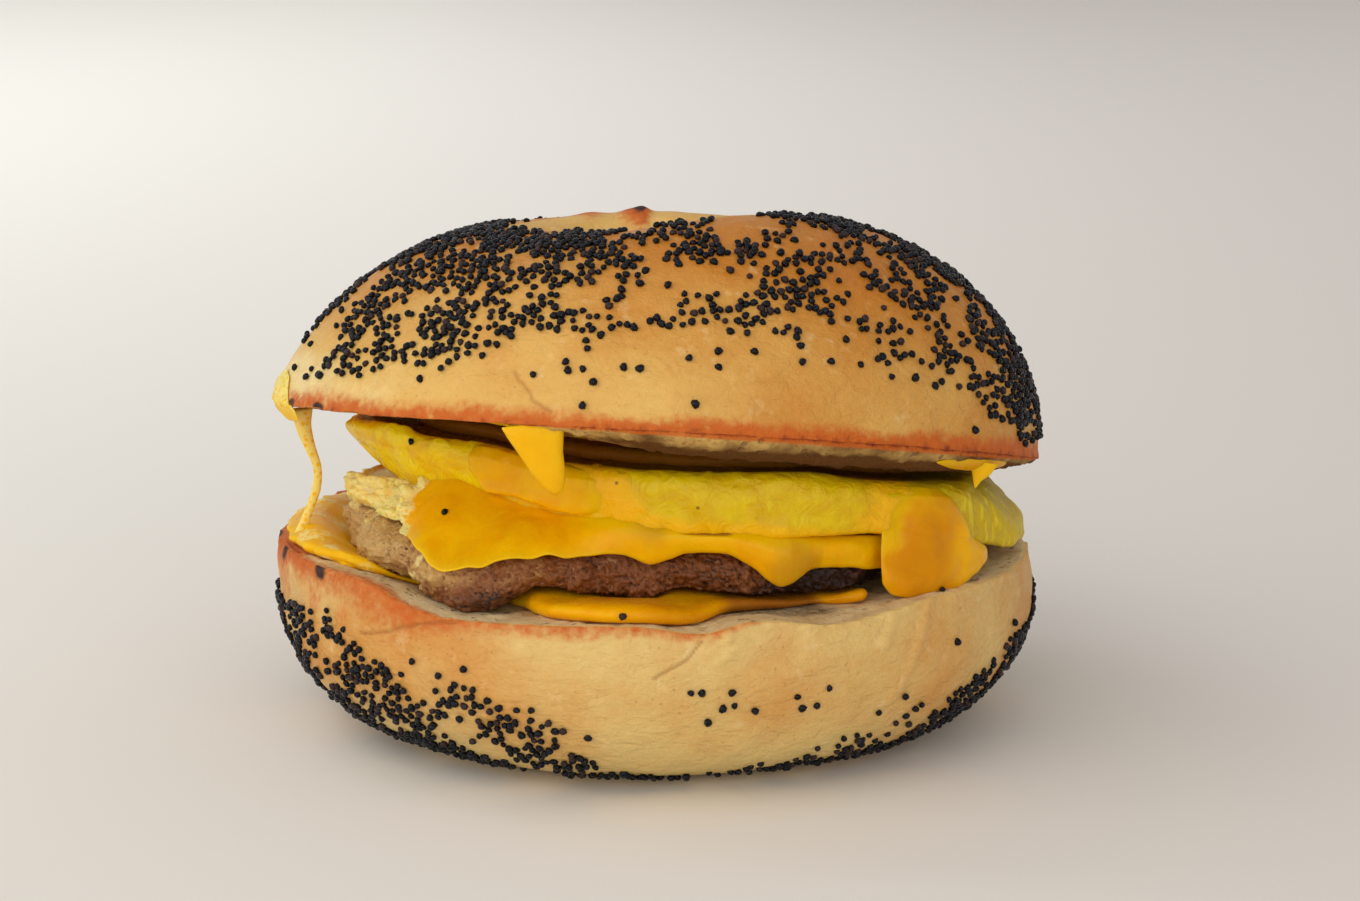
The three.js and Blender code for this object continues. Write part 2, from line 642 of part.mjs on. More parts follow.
function makeCrownSlice(sides, grow = 0) {
  const at = (share, inset, level) => (degrees) => {
    const radius = around(CROWN_SLICE_RADII, degrees) * share - inset + grow * share
    const drop = SLICE_REST - grow + level * (CROWN_SLICE_THICKNESS + 2 * grow)
    return crownUndersidePoint(radius, degrees, drop)
  }
  const rings = [
    at(0.6, 0, 0), at(1, 2, 0), at(1, 0, 0.3), at(1, 0.4, 0.8), at(1, 2, 1), at(0.6, 0, 1),
  ].map((pointAt) => anglesFor(sides).map(pointAt))
  const first = crownUndersidePoint(0, 0, SLICE_REST - grow)
  const last = crownUndersidePoint(0, 0, SLICE_REST + CROWN_SLICE_THICKNESS + grow)
  return cappedSolid(first, rings, last)
}

function makeString() {
  const sections = STRING_STOPS.map(([x, y, z, half]) => anglesFor(8).map((degrees) => {
    const offset = polar(half, degrees, 0)
    return new THREE.Vector3(x + offset.x, y + offset.y * STRING_FLATNESS, z)
  }))
  const [topX, topY, topZ] = STRING_STOPS[0]
  const [lowX, lowY, lowZ] = STRING_STOPS.at(-1)
  return cappedSolid(
    new THREE.Vector3(topX, topY, topZ + 0.6), sections, new THREE.Vector3(lowX, lowY, lowZ - 0.5))
}

// The sandwich, from the bottom up: each piece is cut clear of the ones it touches

const baseBody = makeBaseBody(BREAD_SIDES)
const crownBody = makeCrownBody(BREAD_SIDES)
const bread = [makeBaseBody(BREAD_SIDES, GAP), makeCrownBody(BREAD_SIDES, GAP)]
const patty = clearOf(makePatty(FILLING_SIDES), bread)
const pattyRoom = makePatty(FILLING_SIDES, GAP)
const lowerCheese = clearOf(makeLowerCheese(FILLING_SIDES), [...bread, pattyRoom])
const egg = clearOf(makeEgg(FILLING_SIDES), [...bread, pattyRoom])
const layerRoom = [...bread, pattyRoom, makeLowerCheese(FILLING_SIDES, GAP), makeEgg(FILLING_SIDES, GAP)]
const middleCheese = clearOf(makeMiddleCheese(), layerRoom)
layerRoom.push(makeMiddleCheese(GAP))
const upperCheese = clearOf(makeUpperCheese(), layerRoom)
layerRoom.push(makeUpperCheese(GAP))
const crownSlice = clearOf(makeCrownSlice(SLICE_SIDES).add(makeCrownFlap()), layerRoom)
const smear = clearOf(makeSmear(), layerRoom)
layerRoom.push(makeCrownSlice(SLICE_SIDES, GAP))
const cheeseString = clearOf(makeString(), layerRoom)

const random = randomSource(20260)
const crownPlaces = scatter(CROWN_SEEDS, 3.4, random, crownSeedPlace)
const basePlaces = scatter(BASE_SEEDS, 3.4, random, baseSeedPlace)
const crown = wasm.Manifold.union([crownBody, ...makeSeeds(crownPlaces, random)])
const base = wasm.Manifold.union([baseBody, ...makeSeeds(basePlaces, random)])

function meshOf(name, solid, colour, roughness) {
  const { vertProperties, triVerts } = solid.getMesh()
  const geometry = new THREE.BufferGeometry()
    .setAttribute('position', new THREE.BufferAttribute(vertProperties, 3))
    .setIndex(new THREE.BufferAttribute(triVerts, 1))
  geometry.computeVertexNormals()
  const material = new THREE.MeshStandardMaterial({ color: colour, roughness, metalness: 0 })
  const mesh = new THREE.Mesh(geometry, material)
  mesh.name = name
  return mesh
}

const group = new THREE.Group()
group.add(
  meshOf('bagel_base', base, CRUST_COLOUR, 0.6),
  meshOf('cheese_lower', lowerCheese, CHEESE_COLOUR, 0.35),
  meshOf('sausage_patty', patty, PATTY_COLOUR, 0.75),
  meshOf('cheese_middle', middleCheese, CHEESE_COLOUR, 0.3),
  meshOf('egg_omelette', egg, EGG_COLOUR, 0.4),
  meshOf('cheese_upper', upperCheese, CHEESE_COLOUR, 0.3),
  meshOf('cheese_under_crown', crownSlice, CHEESE_COLOUR, 0.35),
  meshOf('cheese_smear', smear, CHEESE_COLOUR, 0.35),
  meshOf('cheese_string', cheeseString, CHEESE_COLOUR, 0.3),
  meshOf('bagel_crown', crown, CRUST_COLOUR, 0.55),
)

export default group
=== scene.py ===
"""A poppy seed bagel sandwich: toasted bread, sausage patty, omelette and melted cheese.

Shapes are worked out in millimetres and turned into metres when a mesh is made. Angles run round
the sandwich's axis in degrees: 0 is the right, 90 the back, 180 the left and 270 the front.
"""
import itertools
import math

import bpy
import numpy as np
from bpy.props import FloatProperty, FloatVectorProperty, IntProperty, PointerProperty
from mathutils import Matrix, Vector


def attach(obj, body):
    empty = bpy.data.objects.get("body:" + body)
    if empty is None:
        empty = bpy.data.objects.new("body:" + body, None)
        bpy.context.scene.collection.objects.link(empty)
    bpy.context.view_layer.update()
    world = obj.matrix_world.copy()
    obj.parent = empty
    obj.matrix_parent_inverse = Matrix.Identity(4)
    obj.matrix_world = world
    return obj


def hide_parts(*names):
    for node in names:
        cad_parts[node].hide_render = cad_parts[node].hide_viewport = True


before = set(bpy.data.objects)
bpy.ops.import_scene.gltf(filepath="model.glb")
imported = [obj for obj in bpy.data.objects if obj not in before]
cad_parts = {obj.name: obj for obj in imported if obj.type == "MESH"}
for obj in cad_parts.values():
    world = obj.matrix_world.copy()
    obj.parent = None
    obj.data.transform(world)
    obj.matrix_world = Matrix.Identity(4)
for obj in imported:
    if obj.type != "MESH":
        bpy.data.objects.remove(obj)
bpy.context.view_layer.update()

bl_info = {
    "name": "Poppy seed bagel sandwich",
    "version": (1, 0, 0),
    "blender": (4, 5, 0),
    "location": "3D View > Sidebar > Sandwich",
    "description": "Makes the bread, fillings, melted cheese, seeds and studio of the sandwich",
    "category": "Add Mesh",
}

MM = 0.001

# Lower half of the bagel
BASE_RIM_RADIUS = 53.3
BASE_WIDEST_RADIUS = 54.3
BASE_WIDEST_HEIGHT = 18.5
BASE_FOOT_RADIUS = 30
BASE_FOOT_HALF_WIDTH = 4.5
BASE_FOOT_PRESSED = 0.35
BASE_CUT_HEIGHT = 23.6
BASE_HOLE_RADIUS = 8
BASE_HOLE_LIP_RADIUS = 10
BASE_THROAT_HEIGHT = 14
BASE_DISH_START = 38
BASE_RIM_HEIGHTS = [
    (0, 23.8), (60, 24), (120, 24.6), (150, 25.5), (176, 25.4), (200, 26.6), (217, 27.1),
    (225, 27.0), (232, 25.3), (239, 24.4), (250, 24.7), (268, 25.1), (277, 24.2), (284, 25.4),
    (297, 24.1), (314, 25.2), (340, 24.4),
]
BASE_CORE = (32, 14)

# Upper half of the bagel, in its own tilted frame
CROWN_SEAT_HEIGHT = 41.2
CROWN_LEAN_DEG = 9
CROWN_ROLL_DEG = 4.7
CROWN_RADII = [(0, 54.6), (90, 53.4), (180, 53.6), (270, 53.6)]
CROWN_CREST_RADII = [
    (0, 18), (45, 17), (90, 16), (135, 20), (180, 24), (225, 26), (270, 27), (293, 26), (325, 22),
]
CROWN_CREST_HEIGHTS = [
    (0, 30.2), (90, 30.4), (135, 28.5), (180, 26), (225, 25.5), (252, 25.7), (270, 27.6),
    (293, 29.6), (325, 30.3),
]
CROWN_SQUARENESS = [(0, 2.05), (90, 1.9), (180, 1.7), (270, 1.8)]
CROWN_UNDERSIDE_RISE = [
    (0, -0.6), (45, 1.6), (90, 3), (150, 2.6), (180, 1.8), (225, 1.5), (245, 0.2), (257, -1.5),
    (280, -3.4), (325, -3.2),
]
CROWN_HOLE_X = -3
CROWN_HOLE_Y = -4
CROWN_HOLE_RADIUS = 7.5
CROWN_HOLE_LIP_RADIUS = 9
CROWN_THROAT_HEIGHT = 13
CROWN_CORE = (36, 52)
CROWN_EDGE_START = 0.0005

# Fillings
PATTY_RADII = [
    (0, 36), (30, 38), (90, 37.5), (150, 41), (180, 43), (207, 44), (226, 47), (240, 50.4),
    (250, 45.5), (262, 40.8), (275, 40.5), (290, 42.6), (304, 44.6), (315, 42.5), (332, 38.5),
]
PATTY_TOP_HEIGHT = 31.4
PATTY_BACK_TOP_HEIGHT = 29.2
PATTY_LEFT_FALL = 1.6
PATTY_RIGHT_FALL = 2.2
PATTY_BOTTOM_GAP = 0.4
PATTY_LIFT_BY_CHEESE = 1.5
PATTY_LIFTS = [
    (0, 1.3), (90, 1.3), (180, 1.4), (225, 1.6), (240, 2.6), (248, 3.0), (254, 2.6), (260, 1.7),
    (268, 1.2), (274, 2.5), (280, 2.2), (287, 1.9), (296, 1.5), (310, 1.4),
]
PATTY_LOBE_X = -26
PATTY_LOBE_Y = -42
PATTY_LOBE_REACH = (5, 11.5)
PATTY_CORE = (30, 28.5)

EGG_TOP_RADII = [
    (0, 52), (20, 46), (45, 40), (90, 35), (150, 38), (180, 42.5), (197, 46), (211, 43.6),
    (231, 38.8), (252, 39.2), (270, 41.8), (289, 45.6), (307, 48.4), (324, 50), (343, 52),
]
EGG_UNDERCUT = [(0, -0.3), (180, 6.5), (205, 7), (231, 2.4), (252, 0.6), (290, -0.3)]
EGG_BOTTOM_HEIGHT = 33.5
EGG_TOP_HEIGHT = 42.9
EGG_DISH_DEPTH = 1.8
EGG_CROWN_CONTACT_RADIUS = 42
EGG_DROOP = [
    (16, 0), (20, 0.2), (25, 0.9), (33, 2.9), (38, 4.2), (42, 5.3), (45.5, 7.8), (49, 11.4),
    (51, 12.6), (52.5, 13.0),
]
EGG_SLUMP_START = 27
EGG_SLUMP_REACH = 24
EGG_SLUMP_DEPTH = 7.8
EGG_CORE = (30, 38)
ROOM_UNDER_CROWN_LEFT = 2.9
ROOM_UNDER_CROWN_RIGHT = 1.2
ROOM_AT_BARE_EDGE = 0.7

LOWER_SLICE_SINK = 0.05
LOWER_SLICE_THICKNESS = 1.7
CROWN_SLICE_RADII = [
    (0, 5), (90, 10), (135, 26), (165, 38), (180, 45), (196, 49), (215, 42), (235, 42),
    (243, 45), (250, 40), (257, 30), (270, 18), (310, 8),
]
CROWN_SLICE_THICKNESS = 1.1
MIDDLE_CHEESE_CORE = (34, 31)
MIDDLE_CHEESE_RINGS = 66
UPPER_CHEESE_CORE = (30, 36)
LOWER_CHEESE_CORE = (30, 24)
STRING_STOPS = [
    (-48.6, -13, 45.6, 1.5), (-48.4, -13, 43, 1.1), (-47.6, -12.6, 40, 0.75),
    (-46.8, -12.2, 37.2, 0.6), (-46.9, -12, 34.4, 0.6), (-47.8, -12, 31.6, 0.6),
    (-48.8, -12, 29, 0.7), (-49.4, -12, 27.2, 1),
]

# How far the facets are drawn together at the front, in degrees
FRONT_CROWDING = 25

# Noise lattice, and the seeds of every random draw
NOISE_CELLS = 8191
NOISE_STEPS = (73856093, 19349663, 83492791)
NOISE_SEEDS = {
    "crown_bread": 11, "base_bread": 23, "crown_seeds": 31, "base_seeds": 37, "patty": 41,
    "egg_folds": 43, "egg": 44, "middle_cheese": 53, "upper_cheese": 59, "lower_cheese": 61,
    "crown_cheese": 67, "string": 71,
}
SCATTER_SEEDS = {"crown": 5, "base": 6}


def around(stops, degrees):
    """Values at angles from (angle, value) stops round a loop, joined by a smooth curve."""
    angle, value = np.array(stops, float).T
    angle = np.concatenate([angle - 360, angle, angle + 360])
    value = np.tile(value, 3)
    slope = np.gradient(value, angle)
    slope[1:-1] = (value[2:] - value[:-2]) / (angle[2:] - angle[:-2])
    turned = np.mod(degrees, 360.0)
    start = np.searchsorted(angle, turned, side="right") - 1
    span = angle[start + 1] - angle[start]
    t = (turned - angle[start]) / span
    first = slope[start] * span
    last = slope[start + 1] * span
    rise = value[start + 1] - value[start]
    return value[start] + t * (first + t * (3 * rise - 2 * first - last + t * (first + last - 2 * rise)))


def blend(start, end, value):
    """Smooth change from 0 at one value to 1 at another, in either direction."""
    t = np.clip((np.asarray(value, float) - start) / (end - start), 0.0, 1.0)
    return t * t * (3 - 2 * t)


def mix(low, high, share):
    """Between two values, or two rows of places."""
    return low + (high - low) * share


def polar(radius, degrees, height):
    """Places at radii, angles and heights."""
    angle = np.radians(degrees)
    parts = np.broadcast_arrays(radius * np.cos(angle), radius * np.sin(angle), height)
    return np.stack(parts, axis=-1)


def angle_of(x, y):
    """Angles from 0 to 360."""
    return np.degrees(np.arctan2(y, x)) % 360


class Lumps:
    """Smooth seeded noise in space, from -1 to 1."""

    def __init__(self, seed):
        self.values = np.random.default_rng(seed).uniform(-1.0, 1.0, NOISE_CELLS)

    def __call__(self, points, size):
        scaled = np.asarray(points) / size
        cell = np.floor(scaled).astype(np.int64)
        part = scaled - cell
        ease = part * part * (3 - 2 * part)
        total = np.zeros(scaled.shape[:-1])
        for corner in itertools.product((0, 1), repeat=3):
            steps = (cell + corner) * NOISE_STEPS
            key = (steps[..., 0] ^ steps[..., 1] ^ steps[..., 2]) % NOISE_CELLS
            weight = np.prod(np.where(corner, ease, 1 - ease), axis=-1)
            total += weight * self.values[key]
        return total

    def layered(self, points, size, layers=3, fade=0.5):
        """Noise with finer layers on it, each at half the size of the one before."""
        total = np.zeros(np.asarray(points).shape[:-1])
        for layer in range(layers):
            total += fade ** layer * self(points, size / 2 ** layer)
        return total


def turn_about_y(angle):
    """The matrix of a turn about the y axis."""
    return np.array([[np.cos(angle), 0, np.sin(angle)], [0, 1, 0], [-np.sin(angle), 0, np.cos(angle)]])


def turn_about_z(angle):
    """The matrix of a turn about the z axis."""
    return np.array([[np.cos(angle), -np.sin(angle), 0], [np.sin(angle), np.cos(angle), 0], [0, 0, 1]])


def grid_faces(rings, sides, looped):
    """Four cornered faces between neighbouring rings; a looped grid closes on its first ring."""
    bands = rings if looped else rings - 1
    ring, side = np.meshgrid(np.arange(bands), np.arange(sides), indexing="ij")
    following = (side + 1) % sides
    outer = (ring + 1) % rings
    corners = [ring * sides + side, outer * sides + side, outer * sides + following,
               ring * sides + following]
    return np.stack(corners, axis=-1).reshape(-1, 4)


class Shell:
    """A closed surface on a grid of rings, with values that its material reads at each point."""

    def __init__(self, rings, looped=False, **values):
        self.points = np.array(rings, float)
        self.looped = looped
        self.values = {name: np.broadcast_to(value, self.points.shape[:2]).astype(float)
                       for name, value in values.items()}

    def arrays(self):
        """Points, faces and values, with a middle point at each end that isn't looped."""
        ring_count, sides, _ = self.points.shape
        points = self.points.reshape(-1, 3)
        faces = grid_faces(ring_count, sides, self.looped).tolist()
        values = {name: value.ravel() for name, value in self.values.items()}
        if not self.looped:
            first, last = len(points), len(points) + 1
            points = np.vstack([points, self.points[0].mean(0), self.points[-1].mean(0)])
            values = {name: np.append(value, [value[:sides].mean(), value[-sides:].mean()])
                      for name, value in values.items()}
            end = (ring_count - 1) * sides
            for side in range(sides):
                following = (side + 1) % sides
                faces.append((first, side, following))
                faces.append((last, end + following, end + side))
        return points, faces, values


def joined(shells):
    """Arrays of several shells as one mesh."""
    points, faces, values = [], [], {}
    count = 0
    for shell in shells:
        some_points, some_faces, some_values = shell.arrays()
        points.append(some_points)
        faces.extend([tuple(index + count for index in face) for face in some_faces])
        for name, value in some_values.items():
            values.setdefault(name, []).append(value)
        count += len(some_points)
    values = {name: np.concatenate(value) for name, value in values.items()}
    return np.vstack(points), faces, values


def stacked(shells):
    """One looped shell from shells whose rings follow one another."""
    values = {name: np.concatenate([shell.values[name] for shell in shells])
              for name in shells[0].values}
    return Shell(np.concatenate([shell.points for shell in shells]), looped=True, **values)


def moved(points, way, distance):
    """Points moved along directions by distances."""
    return points + way * np.asarray(distance)[..., None]


def make_piece(name, arrays, materials, node=None, face_material=None):
    """Adds a mesh object in the sandwich's frame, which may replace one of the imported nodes."""
    points, faces, values = arrays
    mesh = bpy.data.meshes.new(name)
    mesh.from_pydata((np.asarray(points) * MM).tolist(), [], faces)
    for value_name, value in values.items():
        layer = mesh.attributes.new(value_name, "FLOAT", "POINT")
        layer.data.foreach_set("value", np.asarray(value, np.float32))
    for material in materials:
        mesh.materials.append(material)
    if face_material is not None:
        mesh.polygons.foreach_set("material_index", np.asarray(face_material, np.int32))
    mesh.shade_smooth()
    mesh.update()
    piece = bpy.data.objects.new(name, mesh)
    bpy.context.scene.collection.objects.link(piece)
    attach(piece, "root")
    if node:
        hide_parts(node)


# Forms of the bread


def base_rim_height(degrees):
    """Height of the lower half's toasted rim."""
    return around(BASE_RIM_HEIGHTS, degrees)


def base_cut_height(radius, degrees):
    """The lower half's cut face, which dips inside its rim."""
    share = blend(BASE_DISH_START, BASE_RIM_RADIUS, radius)
    return mix(BASE_CUT_HEIGHT, base_rim_height(degrees), share)


def base_crust(along, degrees):
    """Crust from the foot (0) over the widest line (1) to the rim (2)."""
    swing = np.pi / 2 * np.minimum(along, 1)
    low_radius = BASE_FOOT_RADIUS + (BASE_WIDEST_RADIUS - BASE_FOOT_RADIUS) * np.sin(swing)
    low_height = np.maximum(BASE_WIDEST_HEIGHT * (1 - np.cos(swing)) - BASE_FOOT_PRESSED, 0)
    rise = np.maximum(along - 1, 0)
    high_radius = mix(BASE_WIDEST_RADIUS, BASE_RIM_RADIUS, rise * rise)
    seam = BASE_WIDEST_HEIGHT - BASE_FOOT_PRESSED * (1 - rise)
    high_height = mix(seam, base_rim_height(degrees), rise)
    radius = np.where(along <= 1, low_radius, high_radius)
    return polar(radius, degrees, np.where(along <= 1, low_height, high_height))


def crown_matrix():
    """The turn that tilts the upper half back and to the right."""
    lean = np.radians(-CROWN_LEAN_DEG)
    roll = np.radians(CROWN_ROLL_DEG)
    about_x = np.array([[1, 0, 0], [0, np.cos(lean), -np.sin(lean)], [0, np.sin(lean), np.cos(lean)]])
    return turn_about_y(roll) @ about_x


def crown_in_place(points):
    """Places from the crown's own upright frame to where it lies, tilted."""
    return np.asarray(points) @ crown_matrix().T + (0, 0, CROWN_SEAT_HEIGHT)


def crown_edge_height(degrees):
    """The gentle wave of the cut edge."""
    doubled = np.radians(2 * np.asarray(degrees))
    return 0.1 - 0.8 * np.cos(doubled) - 0.8 * np.sin(doubled)


def crown_underside_height(radius, degrees):
    """Height of the cut face in the crown's own frame."""
    edge = around(CROWN_RADII, degrees)
    inward = np.clip((edge - radius) / (edge - CROWN_HOLE_LIP_RADIUS), 0, 1)
    rise = around(CROWN_UNDERSIDE_RISE, degrees) * np.sin(np.pi * inward ** 0.5)
    return crown_edge_height(degrees) + rise


def crown_underside(radius, degrees, drop=0.0):
    """Places on the crown's cut face, or below it by the drop."""
    height = crown_underside_height(radius, degrees) - drop
    return crown_in_place(polar(radius, degrees, height))


def crown_crust(along, degrees):
    """Crust from the cut edge (0) to the crest (1), in the sandwich's frame."""
    squareness = around(CROWN_SQUARENESS, degrees)
    swing = np.pi / 2 * along
    outward = np.maximum(np.cos(swing), 0) ** (2 / squareness)
    upward = np.sin(swing) ** (2 / squareness)
    radius = mix(around(CROWN_CREST_RADII, degrees), around(CROWN_RADII, degrees), outward)
    height = mix(crown_edge_height(degrees), around(CROWN_CREST_HEIGHTS, degrees), upward)
    return crown_in_place(polar(radius, degrees, height))


# Forms of the fillings


def patty_lift(x, y):
    """How far the slice below holds the patty up over the bread."""
    off_lobe = blend(*PATTY_LOBE_REACH, np.hypot(x - PATTY_LOBE_X, y - PATTY_LOBE_Y))
    rim_lift = around(PATTY_LIFTS, angle_of(x, y))
    shown = mix(PATTY_LIFT_BY_CHEESE, rim_lift, blend(24, 38, np.hypot(x, y)))
    return shown * off_lobe * blend(32, 16, y) * mix(0.55, 1, blend(-32, -22, x))


def patty_bottom(x, y):
    """Height of the patty's bottom, which follows the base's cut face."""
    seat = base_cut_height(np.hypot(x, y), angle_of(x, y)) + PATTY_BOTTOM_GAP
    return seat + patty_lift(x, y)


def patty_top(x, y):
    """Height of the patty's top, which falls at both ends."""
    fall = PATTY_LEFT_FALL * blend(-28, -44, x) + PATTY_RIGHT_FALL * blend(20, 37, x)
    return mix(PATTY_TOP_HEIGHT, PATTY_BACK_TOP_HEIGHT, blend(-5, 36, y)) - fall


def crown_floor(x, y):
    """Height of the crown's cut face over a place."""
    plane = -math.sin(math.radians(CROWN_LEAN_DEG)) * y - math.sin(math.radians(CROWN_ROLL_DEG)) * x
    return CROWN_SEAT_HEIGHT + plane + crown_underside_height(np.hypot(x, y), angle_of(x, y))


def room_under_crown(x, y):
    """Height kept free for the cheese between omelette and crown."""
    room = mix(ROOM_UNDER_CROWN_LEFT, ROOM_UNDER_CROWN_RIGHT, blend(2, 14, x))
    bare = blend(31, 38, np.hypot(x, y)) * blend(-9, -2, x) * blend(27, 20, x) * blend(-20, -30, y)
    return mix(room, ROOM_AT_BARE_EDGE, bare)


def egg_top(x, y):
    """Height of the omelette's top."""
    droop = np.interp(x, *np.transpose(EGG_DROOP))
    inset = around(EGG_TOP_RADII, angle_of(x, y)) - np.hypot(x, y)
    dish = EGG_DISH_DEPTH * blend(1.2, 7, inset) * blend(34, 22, x)
    free = EGG_TOP_HEIGHT + 1.6 * blend(-10, -26, x) + 1.0 * blend(-30, -38, x) - droop - dish
    share = np.minimum(1, EGG_CROWN_CONTACT_RADIUS / np.maximum(1, np.hypot(x, y)))
    return np.minimum(free, crown_floor(x * share, y * share) - room_under_crown(x, y))


def egg_bottom(x, y):
    """The omelette's plain underside, which sinks at its right end."""
    back = blend(-5, 36, y) * (PATTY_TOP_HEIGHT - PATTY_BACK_TOP_HEIGHT)
    slump = EGG_SLUMP_DEPTH * (np.maximum(0, x - EGG_SLUMP_START) / EGG_SLUMP_REACH) ** 1.3
    return EGG_BOTTOM_HEIGHT - back - slump


def turn_angles(sides):
    """Angles round a loop, closest together at the open front."""
    share = np.linspace(0, 1, sides, endpoint=False)
    return np.mod(360 * share - FRONT_CROWDING * np.cos(2 * np.pi * share), 360)


def slab_rings(sides, stops, edge_at, bottom_at, top_at):
    """Rings of a slab from its top middle over its side to its bottom middle. A stop is a share of
    the edge radius, an inset from the edge and a level from the bottom (0) to the top (1)."""
    degrees = turn_angles(sides)
    rings = []
    for share, inset, level in stops:
        points = polar(edge_at(degrees, level) * share - inset, degrees, 0.0)
        x, y = points[:, 0], points[:, 1]
        points[:, 2] = mix(bottom_at(x, y), top_at(x, y), level)
        rings.append(points)
    return np.array(rings)


def smooth_steps(stops, count):
    """Rows or rings spread evenly along a smooth curve through the given ones."""
    stops = np.array(stops, float)
    place = np.linspace(0, len(stops) - 1, count)
    start = np.minimum(place.astype(int), len(stops) - 2)
    t = (place - start).reshape((-1,) + (1,) * (stops.ndim - 1))
    padded = np.concatenate([2 * stops[:1] - stops[1:2], stops, 2 * stops[-1:] - stops[-2:-1]])
    before, first, second, after = (padded[start + step] for step in range(4))
    leave = (second - before) / 2
    arrive = (after - first) / 2
    rise = second - first
    return first + t * (leave + t * (3 * rise - 2 * leave - arrive + t * (leave + arrive - 2 * rise)))


# Shader expressions


class Wire:
    """A value or colour in a material, used in expressions."""

    def __init__(self, paint, socket):
        self.paint = paint
        self.socket = socket

    def _math(self, operation, first, second):
        return self.paint.node("ShaderNodeMath", {"operation": operation}, {0: first, 1: second})

    def __add__(self, other):
        return self._math("ADD", self, other)

    __radd__ = __add__

    def __sub__(self, other):
        return self._math("SUBTRACT", self, other)

    def __rsub__(self, other):
        return self._math("SUBTRACT", other, self)

    def __mul__(self, other):
        return self._math("MULTIPLY", self, other)

    __rmul__ = __mul__

    def between(self, low, high):
        """0 below low, 1 above high and smooth between them; low may be the larger."""
        settings = {"interpolation_type": "SMOOTHSTEP"}
        if low < high:
            return self.paint.node("ShaderNodeMapRange", settings, {0: self, 1: low, 2: high})
        return 1 - self.paint.node("ShaderNodeMapRange", settings, {0: self, 1: high, 2: low})


class Paint:
    """A material that is being made from nodes."""

    def __init__(self, name):
        self.material = bpy.data.materials.new(name)
        self.material.use_nodes = True
        self.tree = self.material.node_tree
        self.tree.nodes.clear()
        place = self.node("ShaderNodeTexCoord", output="Object")
        self.place = self.node("ShaderNodeVectorMath", {"operation": "SCALE"},
                               {"Vector": place, "Scale": 1 / MM})

    def node(self, kind, settings=None, inputs=None, output=0):
        node = self.tree.nodes.new(kind)
        for name, value in (settings or {}).items():
            setattr(node, name, value)
        for name, value in (inputs or {}).items():
            if isinstance(value, Wire):
                self.tree.links.new(value.socket, node.inputs[name])
            else:
                node.inputs[name].default_value = value
        return Wire(self, node.outputs[output])

    def values(self, *names):
        """Values that the mesh holds at each point."""
        return [self.node("ShaderNodeAttribute", {"attribute_name": name}, output="Fac")
                for name in names]

    def stretched(self, across, along):
        """The place in space with its level direction and its height measured in other units."""
        return self.node("ShaderNodeVectorMath", {"operation": "MULTIPLY"},
                         {0: self.place, 1: (across, across, along)})

    def noise(self, size, detail=3.0, roughness=0.55, place=None, distortion=0.0):
        """Cloudy noise from 0 to 1 with lumps of a size in millimetres."""
        return self.node("ShaderNodeTexNoise", inputs={
            "Vector": place or self.place, "Scale": 1 / size, "Detail": detail,
            "Roughness": roughness, "Distortion": distortion})

    def cells(self, size):
        """Distance from the middle of the nearest cell, for cells of a size in millimetres."""
        return self.node("ShaderNodeTexVoronoi", inputs={"Vector": self.place, "Scale": 1 / size},
                         output="Distance")

    def mix(self, share, first, second):
        """Between two colours."""
        return self.node("ShaderNodeMix", {"data_type": "RGBA"}, {0: share, 6: first, 7: second},
                         output=2)

    def bump(self, height, strength, distance, under=None):
        """A normal from a height; distance in millimetres."""
        inputs = {"Height": height, "Strength": strength, "Distance": distance * MM}
        if under:
            inputs["Normal"] = under
        return self.node("ShaderNodeBump", inputs=inputs, output="Normal")

    def finish(self, **inputs):
        """Ends the material in a surface with these socket values, underscores for spaces."""
        surface = self.node("ShaderNodeBsdfPrincipled", inputs={
            name.replace("_", " "): value for name, value in inputs.items()})
        out = self.tree.nodes.new("ShaderNodeOutputMaterial")
        self.tree.links.new(surface.socket, out.inputs["Surface"])
        return self.material


def shade(red, green, blue):
    """A colour for a shader from the screen values 0 to 255 that it should look like."""
    screen = np.array([red, green, blue]) / 255
    linear = np.where(screen <= 0.04045, screen / 12.92, ((screen + 0.055) / 1.055) ** 2.4)
    return (*linear.tolist(), 1.0)


# Materials

BLISTER_COLOUR = shade(244, 214, 158)
CRACK_COLOUR = shade(158, 96, 40)
# Burnt crust, and the painted shade on the crumb under the patty
CHAR_AND_SHADE_COLOUR = shade(52, 26, 16)
CRUST_PORE_SHADE = shade(150, 92, 44)
CRUMB_PIT_SHADE = shade(122, 84, 45)
SEED_BLACK = shade(3, 3, 4)
SEED_BLUE_BLACK = shade(14, 14, 20)
SEED_BROWN = shade(50, 34, 30)
SEED_NET_HIGHLIGHT = shade(84, 90, 122)
EGG_SPOT_COLOUR = shade(150, 92, 10)
EGG_SPECK_COLOUR = shade(96, 60, 12)
PEPPER_COLOUR = shade(34, 20, 14)


